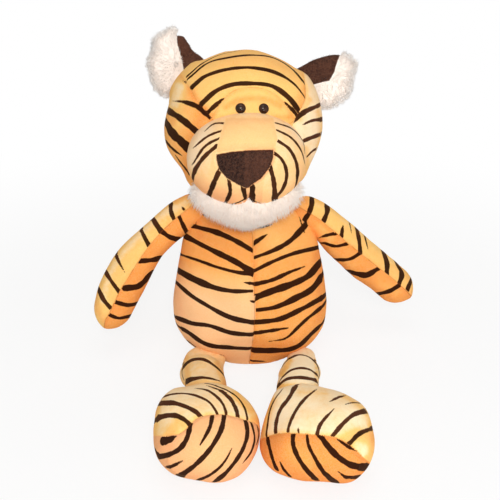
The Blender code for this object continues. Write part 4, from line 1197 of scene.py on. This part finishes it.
FOOT_OUTLINE = {
    "right": (187, 387, 171, 390, 160, 401, 154, 421, 153, 439.5, 158, 459, 171, 473, 195, 479, 221, 481.5, 240,
        475.5, 253, 460, 260, 440, 259.5, 420, 251, 405, 240, 394, 225, 385, 205, 382),
    "left": (276, 390.5, 267, 410, 261.5, 430, 261.5, 453, 271, 469, 290, 477, 328, 482, 351, 482, 367, 468,
        374, 448, 373, 429, 366.5, 410, 347, 395, 325, 388, 300, 384),
}
FOOT_SEAM = {
    "right": (150, 546, 160, 545, 240, 530, 300, 478, 340, 440, 400, 422, 450, 415, 520, 418, 590, 435, 650,
        450, 700, 470, 735, 500),
    "left": (735, 562, 740, 560, 790, 537, 860, 530, 960, 530, 1080, 540, 1160, 550, 1230, 580, 1310, 640, 1370,
        700, 1380, 706),
}
FOOT_UPPER = {
    "right": (
        ("bb", 1.7, (140, 310, 200, 295, 290, 295, 360, 315, 420, 350, 465, 412), (25, 2)),
        ("bb", 3.4, (120, 350, 200, 350, 270, 370, 330, 400, 372, 436), (30, 2)),
        ("bb", 3.8, (105, 440, 150, 425, 215, 425, 260, 445, 305, 480), (20, 2)),
        ("tb", 1.9, (330, 258, 400, 270, 460, 310, 500, 360, 520, 420), (0, 2)),
        ("bb", 3.1, (490, 275, 540, 320, 570, 370, 590, 438), (0, 2)),
        ("bb", 1.5, (450, 240, 520, 270, 580, 310, 620, 360, 650, 450), (10, 2)),
        ("tt", 1.4, (400, 240, 462, 262, 520, 285), (0, 0)),
    ),
    "left": (
        ("tb", 1.5, (860, 260, 810, 330, 780, 400, 765, 480, 755, 550), (0, 2)),
        ("bb", 2.8, (930, 250, 890, 320, 850, 370, 820, 440, 810, 535), (8, 2)),
        ("tb", 2.4, (1060, 265, 990, 320, 930, 400, 900, 470, 885, 532), (0, 2)),
        ("tb", 1.4, (950, 500, 950, 530), (0, 0)),
        ("tb", (1.7, 2.6, 3.6), (1165, 385, 1120, 430, 1080, 480, 1060, 538), (0, 2)),
        ("bb", 3.4, (1360, 395, 1290, 415, 1220, 470, 1160, 540), (25, 2)),
        ("bb", 3.8, (1380, 505, 1320, 530, 1255, 595), (20, 2)),
        ("tt", 1.7, (1140, 340, 1190, 315, 1240, 300), (0, 0)),
        ("tb", 1.4, (1230, 360, 1270, 350, 1320, 350), (0, 25)),
    ),
}
FOOT_SOLE = {
    "right": (
        ("tb", (3, 7, 9), (216, 548, 165, 568, 150, 570), (0, 4)),
        ("bb", 4.2, (300, 476, 285, 550, 240, 620, 180, 655, 110, 672), (2, 3)),
        ("bt", (3.4, 2.4), (435, 420, 420, 490, 390, 550, 360, 600), (0, 0)),
        ("bb", 4.0, (506, 418, 490, 500, 450, 580, 400, 650, 330, 720, 240, 785), (0, 6)),
        ("tb", 2.0, (550, 620, 520, 680, 470, 740, 400, 785, 350, 805), (0, 4)),
        ("bb", 3.4, (635, 448, 645, 530, 625, 610, 580, 690, 520, 760, 460, 810), (0, 4)),
        ("bt", 2.0, (670, 465, 690, 560, 670, 640, 620, 710), (2, 0)),
        ("bt", 1.8, (710, 485, 715, 540, 700, 600), (2, 0)),
        ("bt", 2.4, (75, 590, 95, 640, 130, 675), (0, 0)),
        ("tt", 2.6, (130, 735, 180, 730, 255, 695), (0, 0)),
    ),
    "left": (
        ("bb", 2.6, (760, 550, 780, 630, 800, 700, 820, 745), (2, 0)),
        ("tb", 1.9, (840, 700, 860, 740, 900, 785), (0, 0)),
        ("bb", 3.7, (920, 530, 920, 600, 945, 670, 990, 740, 1050, 805), (2, 4)),
        ("bb", (1.9, 3.2, 4.3), (1000, 535, 1010, 600, 1050, 680, 1100, 760, 1170, 825), (2, 4)),
        ("bb", 5.2, (1080, 540, 1130, 610, 1200, 680, 1280, 725, 1375, 735), (2, 12)),
        ("bt", 2.6, (1200, 570, 1250, 610, 1305, 635), (2, 0)),
        ("tb", 3, (1190, 760, 1240, 795, 1315, 790), (0, 8)),
    ),
}
# Painted light and tone on the feet: painted shade along their rims and edges, and paler patches on their tops.
FOOT_LIGHT_AND_TONE = {
    "right": (
        ((168, 472, 195, 480, 225, 480, 248, 467), 6, 0.35), ((155, 408, 153, 440, 159, 460), 4, 0.3),
        ((166, 446, 172, 432), 7, 0.3), ((257, 420, 258, 440, 252, 458), 5, 0.35),
        ((178, 420, 188, 426), 5, 0.2), ((172, 395, 205, 390), 6, -0.1), ((210, 445, 222, 430), 12, -0.15),
        ((236, 395, 250, 410), 4, 0.25),
    ),
    "left": (
        ((288, 479, 328, 482, 358, 474), 5, 0.25), ((270, 400, 265, 415, 262, 432), 5, 0.35),
        ((340, 444, 356, 436, 369, 438), 8, 0.4), ((372, 425, 374, 445, 367, 464), 4, 0.35),
        ((345, 396, 360, 406, 369, 418), 4, 0.2), ((300, 392, 325, 393), 4, 0.12),
        ((290, 450, 305, 462), 9, -0.15), ((264, 440, 264, 456, 272, 470), 4, 0.3),
    ),
}


def build_foot(side):
    sign = SIGN[side]
    joint = leg_path(side)[-1]
    yaw, turn_in, tilt = math.radians(18), math.radians(12), math.radians(35)
    toe = np.array([sign * math.sin(yaw), -math.cos(yaw), 0])
    across = np.array([toe[1], -toe[0], 0])
    centre = joint + np.array([0.015 if side == "left" else 0.002, -0.046, 0])
    centre[2] = 0.0345
    rings = [
        hoop(centre + toe * FOOT_LENGTH * row[3], across, Z, FOOT_WIDTH * row[1], FOOT_HEIGHT * row[2], 260)
        for row in curve(FOOT_SHARES, np.linspace(0, 1, 130))]
    skin = Skin("foot_skin_" + side, rings, centre - toe * FOOT_LENGTH, centre + toe * FOOT_LENGTH)
    skin.settle()
    skin.fit([closed(FOOT_OUTLINE[side])])
    sole = np.array([-sign * math.sin(turn_in), -math.cos(turn_in), 0]) * math.cos(tilt) - Z * math.sin(tilt)
    off = (skin.points - centre) @ sole - 0.008
    spot, seen = skin.pixels(), skin.seen()
    seam = line(feet(FOOT_SEAM[side]))
    (x0, y0), (x1, y1) = seam[0], seam[-1]
    under = inside(spot, [*seam.ravel(), x1 + 40, y1, x1 + 40, 600, x0 - 40, 600, x0 - 40, y0]) < 0
    skin.zone = np.where(np.where(seen, under, off > 0), 1, 0)
    skin.add_stripes(enlarged(FOOT_UPPER[side]), 0)
    skin.add_stripes(enlarged(FOOT_SOLE[side]), 1)
    skin.add_seam(feet(FOOT_SEAM[side]))
    skin.seam = np.where(seen, skin.seam, np.abs(off) * 1000)
    seed = 71 if side == "left" else 72
    puckers = ripple(skin.points, 9, seed) * 0.4 * bell(skin.seam, 4)
    lumps = ripples(skin.points, (48, seed + 2, 1.0), (15, seed + 4, 0.2))
    skin.push(lumps + puckers - bell(skin.seam, 1.7) * 0.9)
    skin.flatten()
    # The sole panel is painted deeper orange than the top: partly the cloth's own colour, partly painted shade
    # on the panel that faces down.
    if side == "left":
        skin.tone = np.where(skin.zone == 1, 0.96, 0.02)
    else:
        skin.tone = np.where(skin.zone == 1, 0.88, 0.12)
        skin.blush = np.where(skin.zone == 1, 0.4, 0.0)
    skin.paint_light_and_tone(FOOT_LIGHT_AND_TONE[side])
    skin.build(VELBOA, "foot_" + side, covers("foot", side))


for side in ("right", "left"):
    build_leg(side)
    build_foot(side)


# Tail, not seen in the photo: a short ringed tube.
TAIL_PATH = ((0, 0, 0), (0.02, 0.26, -0.03), (0.10, 0.52, -0.06), (0.26, 0.74, -0.07))
TAIL_BANDS = ((0.34, 4.0), (0.44, 3.0), (0.55, 4.4), (0.66, 3.4))


def build_tail():
    root = torso_place(0.22, 0, 0.95)
    path = [root + np.array(share) * TAIL_LENGTH for share in TAIL_PATH]
    skin = tube_skin("tail_skin", path, (0.0105, 0.008, 0.010, 0.010), 110, 70)
    for place, width in TAIL_BANDS:
        skin.band(place * skin.nv, width, 2.0, place * 80)
    skin.stripe = np.where(np.arange(len(skin.points)) // 70 > skin.nv * 0.8, -3, skin.stripe)
    skin.push(ripple(skin.points, 24, 81) * 0.5)
    skin.build(VELBOA, "tail", ("tail_cover", "tail_stuffing"))


build_tail()


# Ears: brown on one side, with a plump fringe of white fur on the other.
EAR_OUTLINE = {
    "right": (177.5, 35.8, 172.5, 29.5, 165, 33.5, 156.5, 39.5, 155.3, 48.3, 150, 63.3, 152, 73.3, 155, 83,
        160.5, 91, 166, 94.5, 171.5, 92.5, 180, 95, 190, 92, 200, 80, 207, 66, 202.5, 58.3, 192.5, 50.8, 187.5,
        42.5, 182.5, 36.2),
    "left": (296.7, 69.2, 310, 61.7, 323.3, 56.7, 340, 55, 345, 55.5, 350, 59.5, 354.8, 65, 350.8, 75, 349.2,
        86.7, 344.5, 96, 336.7, 101.5, 326.7, 105.7, 318.3, 102.8, 314, 99, 306, 96, 297, 92, 292, 84, 291, 76),
}
EAR_BROWN = {
    "right": (176.5, 34, 177.5, 45, 180, 53.3, 182.5, 63.3, 184.2, 72.5, 186, 80, 200, 92, 215, 80, 210, 60,
        192, 46, 184, 33),
    "left": (290, 68, 310, 59, 323.3, 54, 341, 52, 340, 55, 336.7, 63.3, 334.2, 72.5, 329.2, 80.8, 318.3, 83.3,
        308.3, 85.8, 300, 92, 285, 90),
}
EAR_CENTRE = {"left": ((55, 18, 29), (0.96, 0.05, 0.25)), "right": ((-38, 24, 41), (-0.74, 0.05, 0.62))}


def build_ear(side):
    root, out = EAR_CENTRE[side]
    place = HEAD @ ((Vector(root) + Vector(out).normalized() * 24) * MM)
    depth = (place - FRONT.eye).dot(FRONT.ahead)
    rim = line(closed(EAR_OUTLINE[side]), 1.0)[:-1]
    middle = rim.mean(0)
    rings = []
    for turn in np.linspace(0.04, math.pi - 0.04, 60):
        lift = -math.cos(turn) * 0.0062
        spread = middle + (rim - middle) * math.sin(turn) ** 0.8
        rings.append([FRONT.point(px, py, depth + lift) for px, py in spread])
    poles = (FRONT.point(*middle, depth + lift) for lift in (-0.0064, 0.0064))
    skin = Skin("ear_skin_" + side, rings, *poles)
    spot = skin.pixels()
    edge = inside(spot, EAR_OUTLINE[side])
    skin.brown = np.where(~skin.seen() & (edge < -2.5), -3, inside(spot, EAR_BROWN[side]) * 0.88)
    skin.push(ripple(skin.points, 20, 91) * 0.5)
    skin.tone[:] = 0.8 if side == "right" else 0.55
    skin.build(DARK_PILE, "ear_" + side, ("ear_white_" + side, "ear_brown_" + side), "brown_fabric")
    pile("ear_pile_" + side, skin, skin.brown < -0.8, 2400, "ear_" + side)
    white = np.nonzero(skin.brown > 0.5)[0]
    count = 4600
    odds = np.exp(edge[white] / 3) + 0.14
    pick = rng.choice(white, count, p=odds / odds.sum())
    ways = skin.normals[pick] * 0.6 + unit(skin.points[pick] - np.array(FRONT.point(*middle, depth))) * 0.8
    lengths = rng.uniform(3.5, 6.0, count) * MM
    tufts("ear_fur_" + side, skin.points[pick], ways, lengths, 0.22 * MM, WHITE_FUR, "ear_" + side,
          0.45)


for side in ("right", "left"):
    build_ear(side)


# Stage: a pale floor, soft lamps and the photo's camera.
# Each lamp has its place, size and power.
LAMPS = {
    "key": ((-0.35, -1.2, 0.9), 0.7, 2.0),
    "fill": ((0.9, -1.0, 0.45), 0.9, 2.0),
    "top": ((0, -0.4, 1.3), 0.8, 2.8),
    "glint": ((0.05, -1.25, 0.85), 0.3, 8.4),
    "low_glint": ((0.35, -1.1, 0.2), 0.18, 1.9),
    "back": ((0.3, 1.2, 0.6), 1.0, 3.5),
}


def put(name, data, place):
    item = bpy.data.objects.new(name, data)
    bpy.context.scene.collection.objects.link(item)
    item.location = place
    return item


def seen_or_mirrored(tree):
    """One where the camera sees a surface, straight, in a reflection or through something clear."""
    path = tree.nodes.new("ShaderNodeLightPath")
    seen = path.outputs["Is Camera Ray"]
    for ray in ("Is Glossy Ray", "Is Transmission Ray"):
        most = tree.nodes.new("ShaderNodeMath")
        most.operation = "MAXIMUM"
        tree.links.new(seen, most.inputs[0])
        tree.links.new(path.outputs[ray], most.inputs[1])
        seen = most.outputs[0]
    return seen


def build_floor():
    bpy.ops.mesh.primitive_plane_add(size=16, location=(0, 0, 0))
    floor = bpy.context.object
    floor.name = "floor"
    s = Shade("floor", Base_Color=(0.92, 0.92, 0.92, 1), Roughness=0.9, Specular_IOR_Level=0.1)
    reach = s.add("ShaderNodeVectorMath", operation="LENGTH")
    s.join(s.place, reach.inputs[0])
    white = s.span(reach.outputs["Value"], 0.18, 0.75, 0.80, 1.0)
    both = s.add("ShaderNodeMixShader")
    s.join(s.math("MULTIPLY", seen_or_mirrored(s.tree), white), both.inputs[0])
    s.join(s.body.outputs[0], both.inputs[1])
    s.join(s.add("ShaderNodeEmission").outputs[0], both.inputs[2])
    s.join(both.outputs[0], s.tree.nodes["Material Output"].inputs["Surface"])
    floor.data.materials.append(s.made)


def build_world():
    world = bpy.data.worlds.new("studio")
    bpy.context.scene.world = world
    world.use_nodes = True
    tree = world.node_tree
    soft, white = tree.nodes["Background"], tree.nodes.new("ShaderNodeBackground")
    Shade.set(soft, Color=(1.0, 0.985, 0.96, 1), Strength=0.36)
    Shade.set(white, Color=(1, 1, 1, 1), Strength=1.0)
    both = tree.nodes.new("ShaderNodeMixShader")
    for socket, source in zip(both.inputs, (seen_or_mirrored(tree), soft.outputs[0], white.outputs[0])):
        tree.links.new(source, socket)
    tree.links.new(both.outputs[0], tree.nodes["World Output"].inputs["Surface"])


build_floor()
build_world()
for name, (place, size, power) in LAMPS.items():
    lamp = bpy.data.lights.new(name, "AREA")
    lamp.size, lamp.energy = size, power
    item = put(name, lamp, place)
    item.rotation_euler = (Vector((0, 0, 0.15)) - item.location).to_track_quat("-Z", "Y").to_euler()
camera = put("camera", bpy.data.cameras.new("camera"), FRONT.eye)
camera.data.lens = LENS
camera.rotation_euler = FRONT.ahead.to_track_quat("-Z", "Y").to_euler()
bpy.context.scene.camera = camera
bpy.context.scene.view_settings.view_transform = "Standard"
